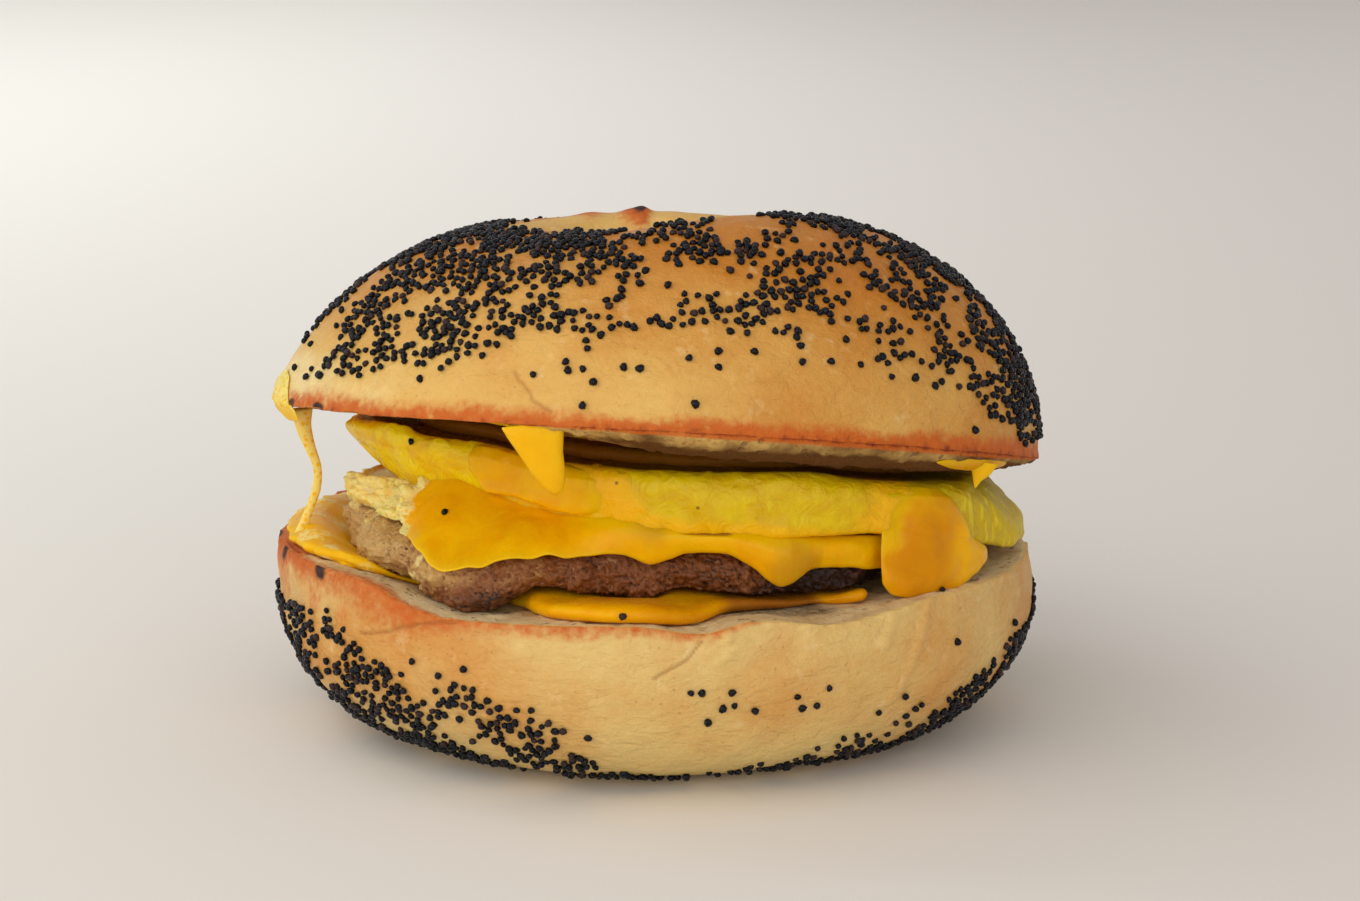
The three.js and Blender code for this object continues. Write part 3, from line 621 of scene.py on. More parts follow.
def crust_material(name, low_colour, high_colour, look):
    """Baked crust: pale and golden clouds, a toasted band at the cut edge and fine wrinkles.
    The mesh gives bake (0 pale to 1 dark), toast, char and crack (0 to 1)."""
    paint = Paint(name)
    bake, toast, char, crack = paint.values("bake", "toast", "char", "crack")
    clouds = paint.noise(9.0, detail=4.0)
    specks = paint.noise(0.9, detail=3.0, roughness=0.65)
    depth = bake + (clouds - 0.5) * 0.7 + (specks - 0.5) * 0.22
    colour = paint.mix(depth.between(0.05, 0.95), low_colour, high_colour)
    colour = paint.mix((depth - 0.9).between(0.0, 0.6), colour, look.crust_brown)
    colour = paint.mix(depth.between(0.12, -0.3) * 0.7, colour, look.crust_cream)
    blisters = paint.noise(2.6, detail=2.0).between(0.6, 0.76)
    colour = paint.mix(blisters * 0.25, colour, BLISTER_COLOUR)
    toasting = toast + (paint.noise(1.1, detail=4.0) - 0.5) * 0.95 * toast.between(0.02, 0.3)
    colour = paint.mix(toasting.between(0.0, 0.85) * 0.97, colour, look.toast)
    colour = paint.mix(toasting.between(0.86, 1.45), colour, look.toast_dark)
    colour = paint.mix(crack * 0.5, colour, CRACK_COLOUR)
    burnt = char + (specks - 0.5) * 0.5 * char.between(0.02, 0.2)
    colour = paint.mix(burnt.between(0.3, 0.8), colour, CHAR_AND_SHADE_COLOUR)
    # Painted shade in the crust's pores
    pores = paint.cells(1.3).between(0.2, 0.08) * clouds.between(0.42, 0.6)
    colour = paint.mix(pores * 0.35, colour, CRUST_PORE_SHADE)
    fine = paint.noise(0.5, detail=2.0, roughness=0.6)
    wrinkles = paint.noise(2.0, detail=4.0, place=paint.stretched(0.7, 1.3), distortion=0.8)
    normal = paint.bump(fine, 0.6, 0.2)
    normal = paint.bump(wrinkles, 0.75, 0.6, normal)
    roughness = 0.46 + (specks - 0.5) * 0.4 + toast * 0.15
    return paint.finish(
        Base_Color=colour, Roughness=roughness, Normal=normal, Specular_IOR_Level=0.24,
        Subsurface_Weight=0.12, Subsurface_Radius=(0.9, 0.45, 0.2), Subsurface_Scale=2 * MM)


def crumb_material(name, light_colour, dark_colour, look):
    """Cut bread: cream crumb with pores, browned where the cut face was toasted.
    The mesh gives bake (how greasy, and the painted shade on the crown's face), toast and char
    (burnt, and the painted shade under the patty on the lower half's face)."""
    paint = Paint(name)
    bake, toast, char = paint.values("bake", "toast", "char")
    grain = paint.noise(0.7, detail=4.0, roughness=0.7)
    clouds = paint.noise(4.5, detail=3.0)
    pores = paint.cells(1.5)
    pits = pores.between(0.34, 0.1) * paint.noise(3.0).between(0.42, 0.62)
    # Painted shade: bake brings in the shade of the crown's cut face with its grease
    greasy_shade = (clouds - 0.5) * 1.6 + 0.35 + bake
    colour = paint.mix(greasy_shade.between(0.0, 1.0), light_colour, dark_colour)
    colour = paint.mix(grain.between(0.45, 0.8) * 0.5, colour, dark_colour)
    # Painted shade in the crumb's pits
    colour = paint.mix(pits * 0.6, colour, CRUMB_PIT_SHADE)
    toasting = toast + (grain - 0.5) * 0.6 * toast.between(0.02, 0.3)
    colour = paint.mix(toasting.between(0.15, 0.7) * 0.85, colour, look.toast)
    colour = paint.mix(toasting.between(0.7, 1.1), colour, look.toast_dark)
    burnt = char + (grain - 0.5) * 0.5 * char.between(0.02, 0.2)
    # Painted shade: on the lower half's cut face char also darkens the crumb under the patty
    colour = paint.mix(burnt.between(0.3, 0.8), colour, CHAR_AND_SHADE_COLOUR)
    normal = paint.bump(grain, 0.7, 0.45)
    normal = paint.bump(pits, 0.8, -0.6, normal)
    return paint.finish(
        Base_Color=colour, Roughness=0.85, Normal=normal, Specular_IOR_Level=0.25,
        Subsurface_Weight=0.25, Subsurface_Radius=(1.0, 0.6, 0.3), Subsurface_Scale=2 * MM)


def seed_material():
    """Blue black poppy seeds with a netted skin whose lighter net is a painted highlight, each a little
    lighter or browner than the next.
    """
    paint = Paint("poppy_seed")
    [tint] = paint.values("tint")
    net = paint.cells(0.2)
    colour = paint.mix(tint.between(0.0, 1.0), SEED_BLACK, SEED_BLUE_BLACK)
    colour = paint.mix(tint.between(0.86, 0.9), colour, SEED_BROWN)
    # Painted highlight: the net lines of the skin are lighter and bluer
    colour = paint.mix(net.between(0.6, 0.78) * 0.14, colour, SEED_NET_HIGHLIGHT)
    normal = paint.bump(net, 0.6, 0.08)
    return paint.finish(
        Base_Color=colour, Roughness=0.2, Normal=normal, Specular_IOR_Level=0.18)


def cheese_material(name, look):
    """Melted cheese: soft orange yellow with light inside it, lighter where it is thin.
    The mesh gives thin (-1 thick to 1 thin; the thick end also paints shade), froth, melt (0 cheese
    to 1 mixed with egg) and crease, the last three from 0 to 1. Crease is painted shade, a greasy
    brown laid in creases, gaps and shaded places."""
    paint = Paint(name)
    thin, froth, melt, crease = paint.values("thin", "froth", "melt", "crease")
    clouds = paint.noise(7.0, detail=3.0, distortion=0.8)
    streaks = paint.noise(2.2, detail=3.0, place=paint.stretched(1.0, 0.4), distortion=1.2)
    fine = paint.noise(0.7, detail=2.0)
    colour = paint.mix(clouds.between(0.35, 0.7), look.cheese, look.cheese_deep)
    colour = paint.mix(streaks.between(0.55, 0.8) * 0.3, colour, look.cheese_light)
    colour = paint.mix(thin.between(0.1, 0.9) * 0.7, colour, look.cheese_light)
    colour = paint.mix(thin.between(0.0, -1.0) * 0.8, colour, look.cheese_thick_and_shade)
    melting = melt + (streaks - 0.5) * 0.9 * melt.between(0.02, 0.3)
    colour = paint.mix(melting.between(0.25, 0.85) * 0.9, colour, look.egg_deep)
    # Painted shade: greasy brown in creases, gaps and shaded places
    colour = paint.mix(crease.between(0.1, 0.9) * 0.85, colour, look.greasy_shade_brown)
    bubbles = paint.cells(0.8).between(0.15, 0.5)
    strands = paint.noise(1.5, detail=3.0, place=paint.stretched(1.0, 0.5), distortion=1.5)
    frothing = froth + (bubbles - 0.5) * 0.4 * froth.between(0.02, 0.2)
    colour = paint.mix(frothing.between(0.2, 0.8) * 0.88, colour, look.froth)
    gaps = froth.between(0.5, 0.9) * strands.between(0.5, 0.6)
    colour = paint.mix(gaps * 0.4, colour, look.cheese_light)
    ripples = paint.noise(3.2, detail=2.0, distortion=0.5)
    normal = paint.bump(ripples, 0.3, 0.5)
    normal = paint.bump(fine.between(0.55, 0.8), 0.25, 0.12, normal)
    normal = paint.bump(bubbles * froth, 0.6, 0.3, normal)
    roughness = 0.3 + (streaks - 0.5) * 0.4 + froth * 0.1 + thin.between(0.4, 0.8) * 0.15
    return paint.finish(
        Base_Color=colour, Roughness=roughness, Normal=normal, Specular_IOR_Level=0.11,
        Subsurface_Weight=0.4, Subsurface_Radius=(1.0, 0.45, 0.04), Subsurface_Scale=3 * MM)


def egg_material(look):
    """Folded omelette: lemon yellow and moist, paler along its folds, with a few brown specks.
    The mesh gives fold, dull, melt (0 egg to 1 mixed with cheese) and the painted shade of the top
    under the crown, all 0 to 1."""
    paint = Paint("omelette")
    fold, dull, melt, browned = paint.values("fold", "dull", "melt", "browned")
    clouds = paint.noise(5.5, detail=4.0, distortion=0.9)
    curds = paint.noise(2.4, detail=3.0, distortion=1.4)
    fine = paint.noise(0.8, detail=3.0, roughness=0.65)
    ridges = paint.noise(1.0, detail=2.0, place=paint.stretched(1.0, 0.2), distortion=0.3)
    colour = paint.mix(clouds.between(0.36, 0.66), look.egg, look.egg_deep)
    colour = paint.mix(curds.between(0.56, 0.74) * 0.5, colour, look.egg_light)
    colour = paint.mix(fold.between(0.1, 0.9) * 0.5, colour, look.egg_light)
    colour = paint.mix(dull.between(0.1, 1.0) * 0.75, colour, look.egg_dull)
    colour = paint.mix(ridges.between(0.5, 0.72) * dull.between(0.45, 1.0) * 0.6, colour,
                       look.egg_light)
    melting = melt + (curds - 0.5) * 0.9 * melt.between(0.02, 0.3)
    colour = paint.mix(melting.between(0.2, 0.9) * 0.95, colour, look.cheese)
    spots = paint.noise(2.4, detail=4.0, roughness=0.7).between(0.69, 0.82)
    colour = paint.mix(spots * 0.35, colour, EGG_SPOT_COLOUR)
    specks = paint.cells(5.2).between(0.06, 0.04)
    colour = paint.mix(specks * 0.7, colour, EGG_SPECK_COLOUR)
    # Painted shade: greasy brown where the top lies in shade under the crown
    colour = paint.mix(browned * 0.88, colour, look.greasy_shade_brown)
    normal = paint.bump(fine, 0.4, 0.2)
    normal = paint.bump(curds, 0.6, 0.8, normal)
    normal = paint.bump(ridges * dull.between(0.45, 1.0), 0.4, 0.3, normal)
    roughness = 0.3 + (curds - 0.5) * 0.5 + dull * 0.15
    return paint.finish(
        Base_Color=colour, Roughness=roughness, Normal=normal, Specular_IOR_Level=0.24,
        Subsurface_Weight=0.35, Subsurface_Radius=(1.0, 0.7, 0.05), Subsurface_Scale=3 * MM)


def sausage_material(look):
    """Browned sausage meat: coarse grains of lean and fat, darker to the right, a little oily.
    The mesh gives sear (0 grey brown to 1 nearly black: seared meat, with painted shade in the
    crevices of the mince) and cream (melted cheese left on it)."""
    paint = Paint("sausage_meat")
    sear, cream = paint.values("sear", "cream")
    mince = paint.noise(1.5, detail=5.0, roughness=0.72)
    shreds = paint.noise(0.8, detail=3.0, distortion=1.6)
    clouds = paint.noise(4.5, detail=3.0)
    fine = paint.noise(0.35, detail=3.0, roughness=0.7)
    depth = sear + (clouds - 0.5) * 0.35 + (mince - 0.5) * 0.4
    colour = paint.mix(depth.between(0.0, 0.5), look.meat_light, look.meat)
    colour = paint.mix(depth.between(0.45, 1.0), colour, look.meat_dark)
    fat = shreds.between(0.56, 0.7) * depth.between(0.8, 0.2)
    colour = paint.mix(fat * 0.6, colour, look.meat_fat)
    # Painted shade: darker in the hollows of the mince
    colour = paint.mix(mince.between(0.42, 0.3) * 0.7, colour, look.meat_dark)
    pepper = paint.cells(2.2).between(0.12, 0.07)
    colour = paint.mix(pepper * 0.85, colour, PEPPER_COLOUR)
    creaming = cream + (shreds - 0.5) * 0.8 * cream.between(0.02, 0.3)
    colour = paint.mix(creaming.between(0.25, 0.8) * 0.8, colour, look.froth)
    normal = paint.bump(fine, 0.45, 0.14)
    normal = paint.bump(shreds, 0.6, 0.35, normal)
    normal = paint.bump(mince, 0.7, 0.6, normal)
    roughness = 0.42 + (mince - 0.5) * 0.6
    return paint.finish(
        Base_Color=colour, Roughness=roughness, Normal=normal, Specular_IOR_Level=0.4,
        Subsurface_Weight=0.08, Subsurface_Radius=(1.0, 0.35, 0.2), Subsurface_Scale=1.5 * MM)


# Sizes and colours that can be changed


def colour_property(name, description, screen):
    """A colour setting, from the screen values 0 to 255 that it should look like."""
    return FloatVectorProperty(name=name, description=description, size=4, subtype="COLOR",
                               default=shade(*screen), min=0.0, max=1.0)


def count_property(name, description, default, low):
    """A whole number with its lowest value."""
    return IntProperty(name=name, description=description, default=default, min=low)


def length_property(name, description, default):
    """A length in metres."""
    return FloatProperty(name=name, description=description, default=default, min=0.0,
                         subtype="DISTANCE", unit="LENGTH", precision=5)


class BreadLook(bpy.types.PropertyGroup):
    """Bread settings."""
    crown_pale: colour_property("Crown pale", "Palest crust of the upper half", (221, 176, 94))
    crown_gold: colour_property("Crown gold", "Golden crust of the upper half", (196, 124, 38))
    base_pale: colour_property("Base pale", "Palest crust of the lower half", (222, 193, 122))
    base_gold: colour_property("Base gold", "Golden crust of the lower half", (204, 132, 50))
    crust_cream: colour_property("Crust cream", "Unbaked crust beside the cut", (242, 220, 158))
    crust_brown: colour_property("Crust brown", "Darkest baked crust", (172, 92, 34))
    toast: colour_property("Toast", "Toasted cut edge", (196, 94, 24))
    toast_dark: colour_property("Toast dark", "Darkest toasting of the cut edge", (130, 50, 10))
    base_crumb: colour_property("Base crumb", "Cut face of the lower half", (232, 206, 156))
    base_crumb_dark: colour_property("Base crumb dark", "Dry patches of that face", (196, 156, 100))
    # The upper half's crumb is painted darker than the lower half's for the shade under the crown; its
    # dark colour is painted shade with greasy patches
    crown_crumb_shaded: colour_property("Crown crumb", "Cut face of the upper half", (206, 166, 94))
    crown_crumb_greasy_shade: colour_property("Crown crumb dark", "Greasy patches of that face", (96, 58, 18))
    sides: count_property("Sides", "Facets round each half", 560, 60)
    crust_rings: count_property("Crust rings", "Rings over the crust", 80, 20)


class FillingLook(bpy.types.PropertyGroup):
    """Filling settings."""
    cheese: colour_property("Cheese", "Melted cheese", (244, 181, 4))
    cheese_deep: colour_property("Cheese deep", "Deeper patches of cheese", (236, 163, 0))
    # Thick cheese colour, also used as painted shade over the middle slice's lower front at the right
    cheese_thick_and_shade: colour_property("Cheese thick", "Thick drips of cheese", (192, 108, 0))
    cheese_light: colour_property("Cheese light", "Thin edges of cheese", (246, 190, 24))
    froth: colour_property("Froth", "Pale bubbles in the cheese", (244, 224, 144))
    egg: colour_property("Egg", "Omelette", (244, 209, 0))
    egg_deep: colour_property("Egg deep", "Deeper patches of omelette", (230, 180, 0))
    egg_light: colour_property("Egg light", "Folds of the omelette", (248, 228, 36))
    egg_dull: colour_property("Egg dull", "Cooler, dull end of the omelette", (190, 160, 8))
    # Painted shade: a greasy brown laid on egg and cheese where they lie in shade under the crown, in
    # creases and under the patty
    greasy_shade_brown: colour_property("Greasy brown", "Browned egg and cheese under the crown", (140, 80, 24))
    meat_light: colour_property("Meat light", "Pale sausage meat", (204, 162, 94))
    meat: colour_property("Meat", "Browned sausage meat", (136, 78, 36))
    meat_dark: colour_property("Meat dark", "Seared sausage meat", (40, 16, 8))
    meat_fat: colour_property("Meat fat", "Flecks of fat in the sausage meat", (214, 180, 122))
    sides: count_property("Sides", "Facets round each filling", 420, 60)


class SeedLook(bpy.types.PropertyGroup):
    """Seed settings."""
    length: length_property("Length", "Length of a seed", 1.14 * MM)
    width: length_property("Width", "Width of a seed", 0.98 * MM)
    crown_tries: count_property("Crown tries", "Places tried on the upper half", 90000, 0)
    base_tries: count_property("Base tries", "Places tried on the lower half", 50000, 0)


class StudioLook(bpy.types.PropertyGroup):
    """Studio settings."""
    lens: FloatProperty(name="Lens", description="Focal length in millimetres", default=80.0,
                        min=10.0, unit="CAMERA")
    pitch: FloatProperty(name="Pitch", description="How far the camera looks down",
                         default=math.radians(11.757), subtype="ANGLE", unit="ROTATION")
    distance: length_property("Distance", "Camera's distance in front", 0.423)
    height: length_property("Height", "Camera's height", 0.125)
    floor: colour_property("Floor", "Colour of the floor at the right", (223.28, 216.46, 210.08))
    # Painted light: the floor is brighter at the left
    floor_light_left: colour_property("Floor left", "Colour of the floor at the left", (249.31, 245.81, 237.39))


# Bread pieces

CRUST_MM_PER_DEGREE = 0.93
FILLING_MM_PER_DEGREE = 0.8
CROWN_TOAST_REACH = [
    (0, 2.4), (60, 2), (120, 2), (180, 2.4), (210, 2.3), (240, 2.1), (270, 1.8), (300, 1.8),
    (330, 2.3),
]
BASE_TOAST_REACH = [
    (0, 0), (60, 0.8), (120, 1.8), (150, 3.0), (170, 3.3), (190, 3.4), (204, 2.9), (214, 2.8),
    (220, 4.4), (226, 5.4), (233, 4.4), (240, 2.4), (248, 1.9), (262, 1.8), (276, 1.4), (284, 0.6),
    (292, 0), (330, 0),
]


def distance_from_first_ring(points):
    """Length along each line of a grid of rings."""
    steps = np.linalg.norm(np.diff(points, axis=0), axis=-1)
    return np.vstack([np.zeros(points.shape[1]), np.cumsum(steps, axis=0)])


def outward_from(points, core):
    """Directions to each point from a circle inside the piece, given by its radius and height."""
    core_radius, core_height = core
    level = np.linalg.norm(points[..., :2], axis=-1, keepdims=True)
    core = np.concatenate([points[..., :2] / level * core_radius,
                           np.full(level.shape, float(core_height))], axis=-1)
    way = points - core
    return way / np.linalg.norm(way, axis=-1, keepdims=True)


CROWN_PALENESS = [
    (0, 0), (60, 0.2), (120, 0.5), (170, 1), (205, 1), (214, 0.8), (226, 0.35), (240, 0.2),
    (262, 0), (300, 0),
]
CROWN_RIGHTNESS = [(0, 1), (50, 0.6), (110, 0.2), (180, 0), (270, 0), (295, 0.55), (320, 1), (340, 1)]
CROWN_BURNT_TIPS = [(196.0, 6.0), (202.6, 3.0), (212.3, 3.0)]
CROWN_CRACKS = [
    [(248.9, 57.0), (249.9, 55.7), (251.7, 54.7), (252.1, 53.8), (253.6, 53.2), (255.2, 52.6)],
]
CROWN_CREASE_ANGLE = 255
BASE_BURNT_TIPS = [(184, 4.0), (196.5, 3.4), (213, 3.0)]
BASE_CRACKS = [
    [(224.6, 20.2), (228.5, 21.0), (232.4, 22.3), (237, 23.6), (242, 24.5)],
    [(276.6, 23.3), (274.7, 21.3), (270.2, 18.8)],
]
BASE_RIDGES = [
    [(313.1, 25.2), (311.2, 22.4), (309.3, 19.0), (305.7, 12.9)],
    [(305.6, 23.8), (303.4, 20.6)],
]
BASE_TEAR_ANGLE = 279.8
HOLE_FOLDS = [
    ((-3.7, 20.6, 68.6), 1.6, 0.42), ((-1.7, 20.5, 68.7), 1.3, 0.65), ((14.5, 13.9, 69.1), 1.2, 0.4),
    ((-9.5, 22.0, 68.0), 2.2, 0.4),
]


def line_nearness(degrees, height, line, width, waver=0.0, scale=CRUST_MM_PER_DEGREE):
    """1 on a line of (angle, height) places and 0 further off than its width."""
    degrees, height = np.broadcast_arrays(degrees, height)
    nearness = np.zeros(height.shape)
    for first, last in itertools.pairwise(np.array(line, float)):
        way = (last - first) * (scale, 1.0)
        place = (np.stack([degrees, height], axis=-1) - first) * (scale, 1.0)
        place[..., 1] += waver
        along = np.clip(place @ way / (way @ way), 0, 1)
        away = np.linalg.norm(place - along[..., None] * way, axis=-1)
        nearness = np.maximum(nearness, blend(width, 0.0, away))
    return nearness


def crack_lines(degrees, height, lines, waver):
    """1 along fine wavering cracks."""
    return sum(line_nearness(degrees, height, line, 0.36, 0.3 * waver) for line in lines)


def with_hole_folds(points, way):
    """Points raised at the folds of the hole's far lip, and how burnt each is."""
    burnt, raised = 0.0, 0.0
    for middle, width, height in HOLE_FOLDS:
        off = points - np.array(middle)
        near = np.exp(-(off[..., 0] / width) ** 2) * np.exp(-(off[..., 1:] ** 2).sum(-1) / 30)
        burnt = burnt + near * min(1.5, 2.1 * height)
        raised = raised + near * height
    return moved(points, way, 0.6 * raised) + (0, 0, 0.8) * raised[..., None], burnt


def burnt_tips(crust, tips, tip_at, inner):
    """1 at the burnt tips of an edge, from their angles and reaches."""
    return sum(blend(reach, inner, np.linalg.norm(crust - tip_at(turn), axis=-1))
               for turn, reach in tips)


def crown_round_hole(radius, degrees, height, share=1.0):
    """Places round the crown's hole, which stands off its axis by a share of its offset."""
    places = polar(radius, degrees, height)
    places[..., 0] += CROWN_HOLE_X * share
    places[..., 1] += CROWN_HOLE_Y * share
    return crown_in_place(places)


def bread_part(rings, bake, toast=0.0, char=0.0, crack=0.0):
    """Rings of bread with how baked, toasted, burnt and cracked each place is."""
    return Shell(rings, bake=bake, toast=toast, char=char, crack=crack)


def make_bread(name, parts, cut_rings, materials, node):
    """Half a bagel from its parts. Between the first and last cut ring the bread shows its crumb."""
    shell = stacked(parts)
    ring = np.repeat(np.arange(len(shell.points)), shell.points.shape[1])
    is_cut = (ring >= cut_rings[0]) & (ring < cut_rings[1])
    make_piece(name, shell.arrays(), materials, node, is_cut.astype(int))


def crown_skin(look, lumps, degrees):
    """The crust from the crest down to the toasted cut edge."""
    along = np.linspace(1, 0, look.crust_rings)[:, None] ** 1.15
    crust = crown_crust(np.maximum(along, CROWN_EDGE_START), degrees)
    edge_distance = distance_from_first_ring(crust[::-1])[::-1]
    way = outward_from(crust, CROWN_CORE)
    swell = 0.35 * lumps.layered(crust, 13) + 0.1 * lumps.layered(crust, 3.5, 2)
    worn = 0.3 * lumps.layered(crust, 2.2, 2) * blend(1.6, 0, edge_distance)
    past_crease = degrees - CROWN_CREASE_ANGLE
    crease = np.hypot(past_crease * 0.9, (edge_distance - 5 - 0.25 * past_crease) * 3)
    crease = 0.35 * blend(5, 0, crease)
    pulled = blend(160, 176, degrees) * blend(246, 224, degrees)
    pulled = 0.95 * pulled * blend(0.03, 0.3, along) * blend(1.0, 0.86, along)
    crust = moved(crust, way, swell * blend(0, 2.5, edge_distance) + worn - crease - pulled)
    pale = around(CROWN_PALENESS, degrees)
    bake = 0.42 + 0.42 * blend(8, 34, edge_distance) - 0.65 * pale * blend(13, 2, edge_distance)
    right = around(CROWN_RIGHTNESS, degrees)
    bake = bake + 0.22 * right + 0.25 * lumps(crust, 17)
    reach = around(CROWN_TOAST_REACH, degrees) * (1 + 0.35 * lumps(crust, 6))
    toast = np.clip(1.08 - edge_distance / (1.3 * reach), 0, 1) * (0.95 + 0.12 * right)
    frayed = blend(1.4 * reach, 0.3 * reach, edge_distance)
    toast = toast + 0.25 * lumps.layered(crust, 1.1, 2) * frayed
    char = burnt_tips(crust, CROWN_BURNT_TIPS, lambda turn: crown_crust(0.001, turn), 0.4)
    char = char * blend(1.8, 0.4, edge_distance)
    crust, burnt = with_hole_folds(crust, way)
    crack = crack_lines(degrees, crust[..., 2], CROWN_CRACKS, lumps(crust, 1.5))
    return bread_part(moved(crust, way, -0.16 * crack), bake, np.maximum(toast, burnt),
                      np.maximum(char, blend(0.75, 1.6, burnt)), crack)


def crown_funnel(lumps, degrees):
    """The folded wall of the hole, from its throat up to the crest."""
    share = np.linspace(1, 0, 26)[:-1, None]
    swing = np.pi / 2 * share
    radius = mix(around(CROWN_CREST_RADII, degrees), CROWN_HOLE_RADIUS, np.sin(swing))
    height = mix(CROWN_THROAT_HEIGHT, around(CROWN_CREST_HEIGHTS, degrees), np.cos(swing))
    wall = crown_round_hole(radius, degrees, height, share)
    folds = 0.5 * lumps.layered(wall * (1, 1, 0.35), 4.5, 2) * blend(0, 0.35, share)
    wall = moved(wall, outward_from(wall, CROWN_CORE), folds)
    bake = 0.22 + 0.3 * lumps(wall * (1, 1, 0.4), 5)
    wall, burnt = with_hole_folds(wall, outward_from(wall, CROWN_CORE))
    return bread_part(wall, bake, burnt, blend(0.75, 1.6, burnt))


def crown_cut_face(lumps, degrees):
    """The cut face under the crown, from its edge in to the hole, with greasy patches and painted shade
    that darkens it inward from the edge and to the right.
    """
    share = np.linspace(0, 1, 42)[1:, None] ** 1.6
    radius = mix(around(CROWN_RADII, degrees), CROWN_HOLE_LIP_RADIUS + 1.5, share)
    rough = 0.32 * lumps.layered(crown_underside(radius, degrees), 1.6, 3)
    cut = crown_underside(radius, degrees, rough * blend(0, 0.02, share))
    edge_distance = around(CROWN_RADII, degrees) - radius
    toast = np.clip(0.9 - edge_distance / 0.4, 0, 1)
    toast = toast + 0.45 * blend(0.1, 0.6, lumps(cut, 9)) * blend(4, 12, edge_distance)
    right = around(CROWN_RIGHTNESS, degrees)
    # Painted shade: darker inward from the cut edge and to the right, with greasy patches from the noise
    greasy_shade = 0.95 * right * blend(0.5, 3.0, edge_distance) + 0.65 * blend(0.8, 3.5, edge_distance)
    return bread_part(cut, greasy_shade + 0.35 * right + 0.4 * lumps(cut, 5), toast)


def make_crown_bread(look):
    """The tilted upper half of the bagel."""
    lumps = Lumps(NOISE_SEEDS["crown_bread"])
    degrees = turn_angles(look.sides)[None, :]
    funnel = crown_funnel(lumps, degrees)
    skin = crown_skin(look, lumps, degrees)
    cut = crown_cut_face(lumps, degrees)
    lip_height = crown_underside_height(16, degrees) + 1
    lip = bread_part(crown_round_hole(CROWN_HOLE_LIP_RADIUS, degrees, lip_height), 0.3, 0.3)
    first_cut = len(funnel.points) + len(skin.points) - 1
    materials = [
        crust_material("crown_crust", look.crown_pale, look.crown_gold, look),
        crumb_material("crown_crumb_shaded", look.crown_crumb_shaded, look.crown_crumb_greasy_shade, look),
    ]
    make_bread("crown_bread", (funnel, skin, cut, lip), (first_cut, first_cut + len(cut.points) + 1),
               materials, "bagel_crown")


BASE_LEFTNESS = [(0, 0.1), (90, 0.3), (150, 0.8), (185, 1), (215, 0.9), (240, 0.4), (265, 0.1), (320, 0)]
BASE_REDNESS = [
    (0, 0), (90, 0.2), (140, 0.6), (175, 1), (200, 1), (214, 0.3), (224, 0.2), (232, 0.3), (245, 0),
]


def base_skin(look, lumps, degrees):
    """The crust from the toasted rim down to the foot."""
    along = np.linspace(2, 0.2, look.crust_rings)[:, None]
    crust = base_crust(along, degrees)
    edge_distance = distance_from_first_ring(crust)
    way = outward_from(crust, BASE_CORE)
    standing = blend(0, 3, crust[..., 2])
    swell = 0.32 * lumps.layered(crust, 14) + 0.09 * lumps.layered(crust, 3.5, 2)
    swell = swell - 0.7 * blend(164, 178, degrees) * blend(214, 196, degrees) * blend(1.7, 1.2, along)
    worn = 0.35 * lumps.layered(crust, 2.0, 2) * blend(1.5, 0, edge_distance)
    crust = moved(crust, way, (swell * blend(0, 2.5, edge_distance) + worn) * standing)
    leftness = around(BASE_LEFTNESS, degrees)
    # Painted light: paler towards the foot, for light bounced up from the floor
    bake = 0.3 + 0.28 * leftness + 0.25 * lumps(crust, 16) - 0.25 * blend(10, 26, edge_distance)
    bake = bake + 0.22 * blend(292, 312, degrees)
    reach = np.maximum(around(BASE_TOAST_REACH, degrees), 0) * (1 + 0.4 * lumps(crust, 5))
    toast = np.clip(1.1 - edge_distance / np.maximum(reach, 0.1), 0, 1) ** 0.7
    toast = toast * base_toasted(degrees) * (0.6 + 0.4 * around(BASE_REDNESS, degrees))
    streaks = blend(0.05, 0.5, lumps(crust * (1, 1, 0.6), 3.2)) * blend(14, 3, edge_distance)
    toast = np.maximum(toast, 0.42 * streaks * leftness)
    char = burnt_tips(crust, BASE_BURNT_TIPS, lambda turn: base_crust(2.0, turn), 0.5)
    past_tear = CRUST_MM_PER_DEGREE * (degrees - BASE_TEAR_ANGLE)
    torn = blend(4.2, 1.5, np.hypot(past_tear, 0.9 * (edge_distance - 1.0)))
    crack = crack_lines(degrees, crust[..., 2], BASE_CRACKS, lumps(crust, 1.5))
    ridge = sum(line_nearness(degrees, crust[..., 2], line, 1.4, 0.4 * lumps(crust, 2))
                for line in BASE_RIDGES)
    relief = 0.3 * ridge - 0.28 * crack + torn * (0.35 + 0.45 * lumps.layered(crust, 1.6, 2))
    crust = moved(crust, way, relief)
    toast = np.maximum(toast, torn * blend(-0.1, 0.5, lumps(crust + 9, 2.0)) * 0.75)
    return bread_part(crust, bake, toast, char, crack)


def base_toasted(degrees):
    """1 where the rim is toasted and 0 where it stayed pale."""
    return blend(0.1, 0.7, around(BASE_TOAST_REACH, degrees))


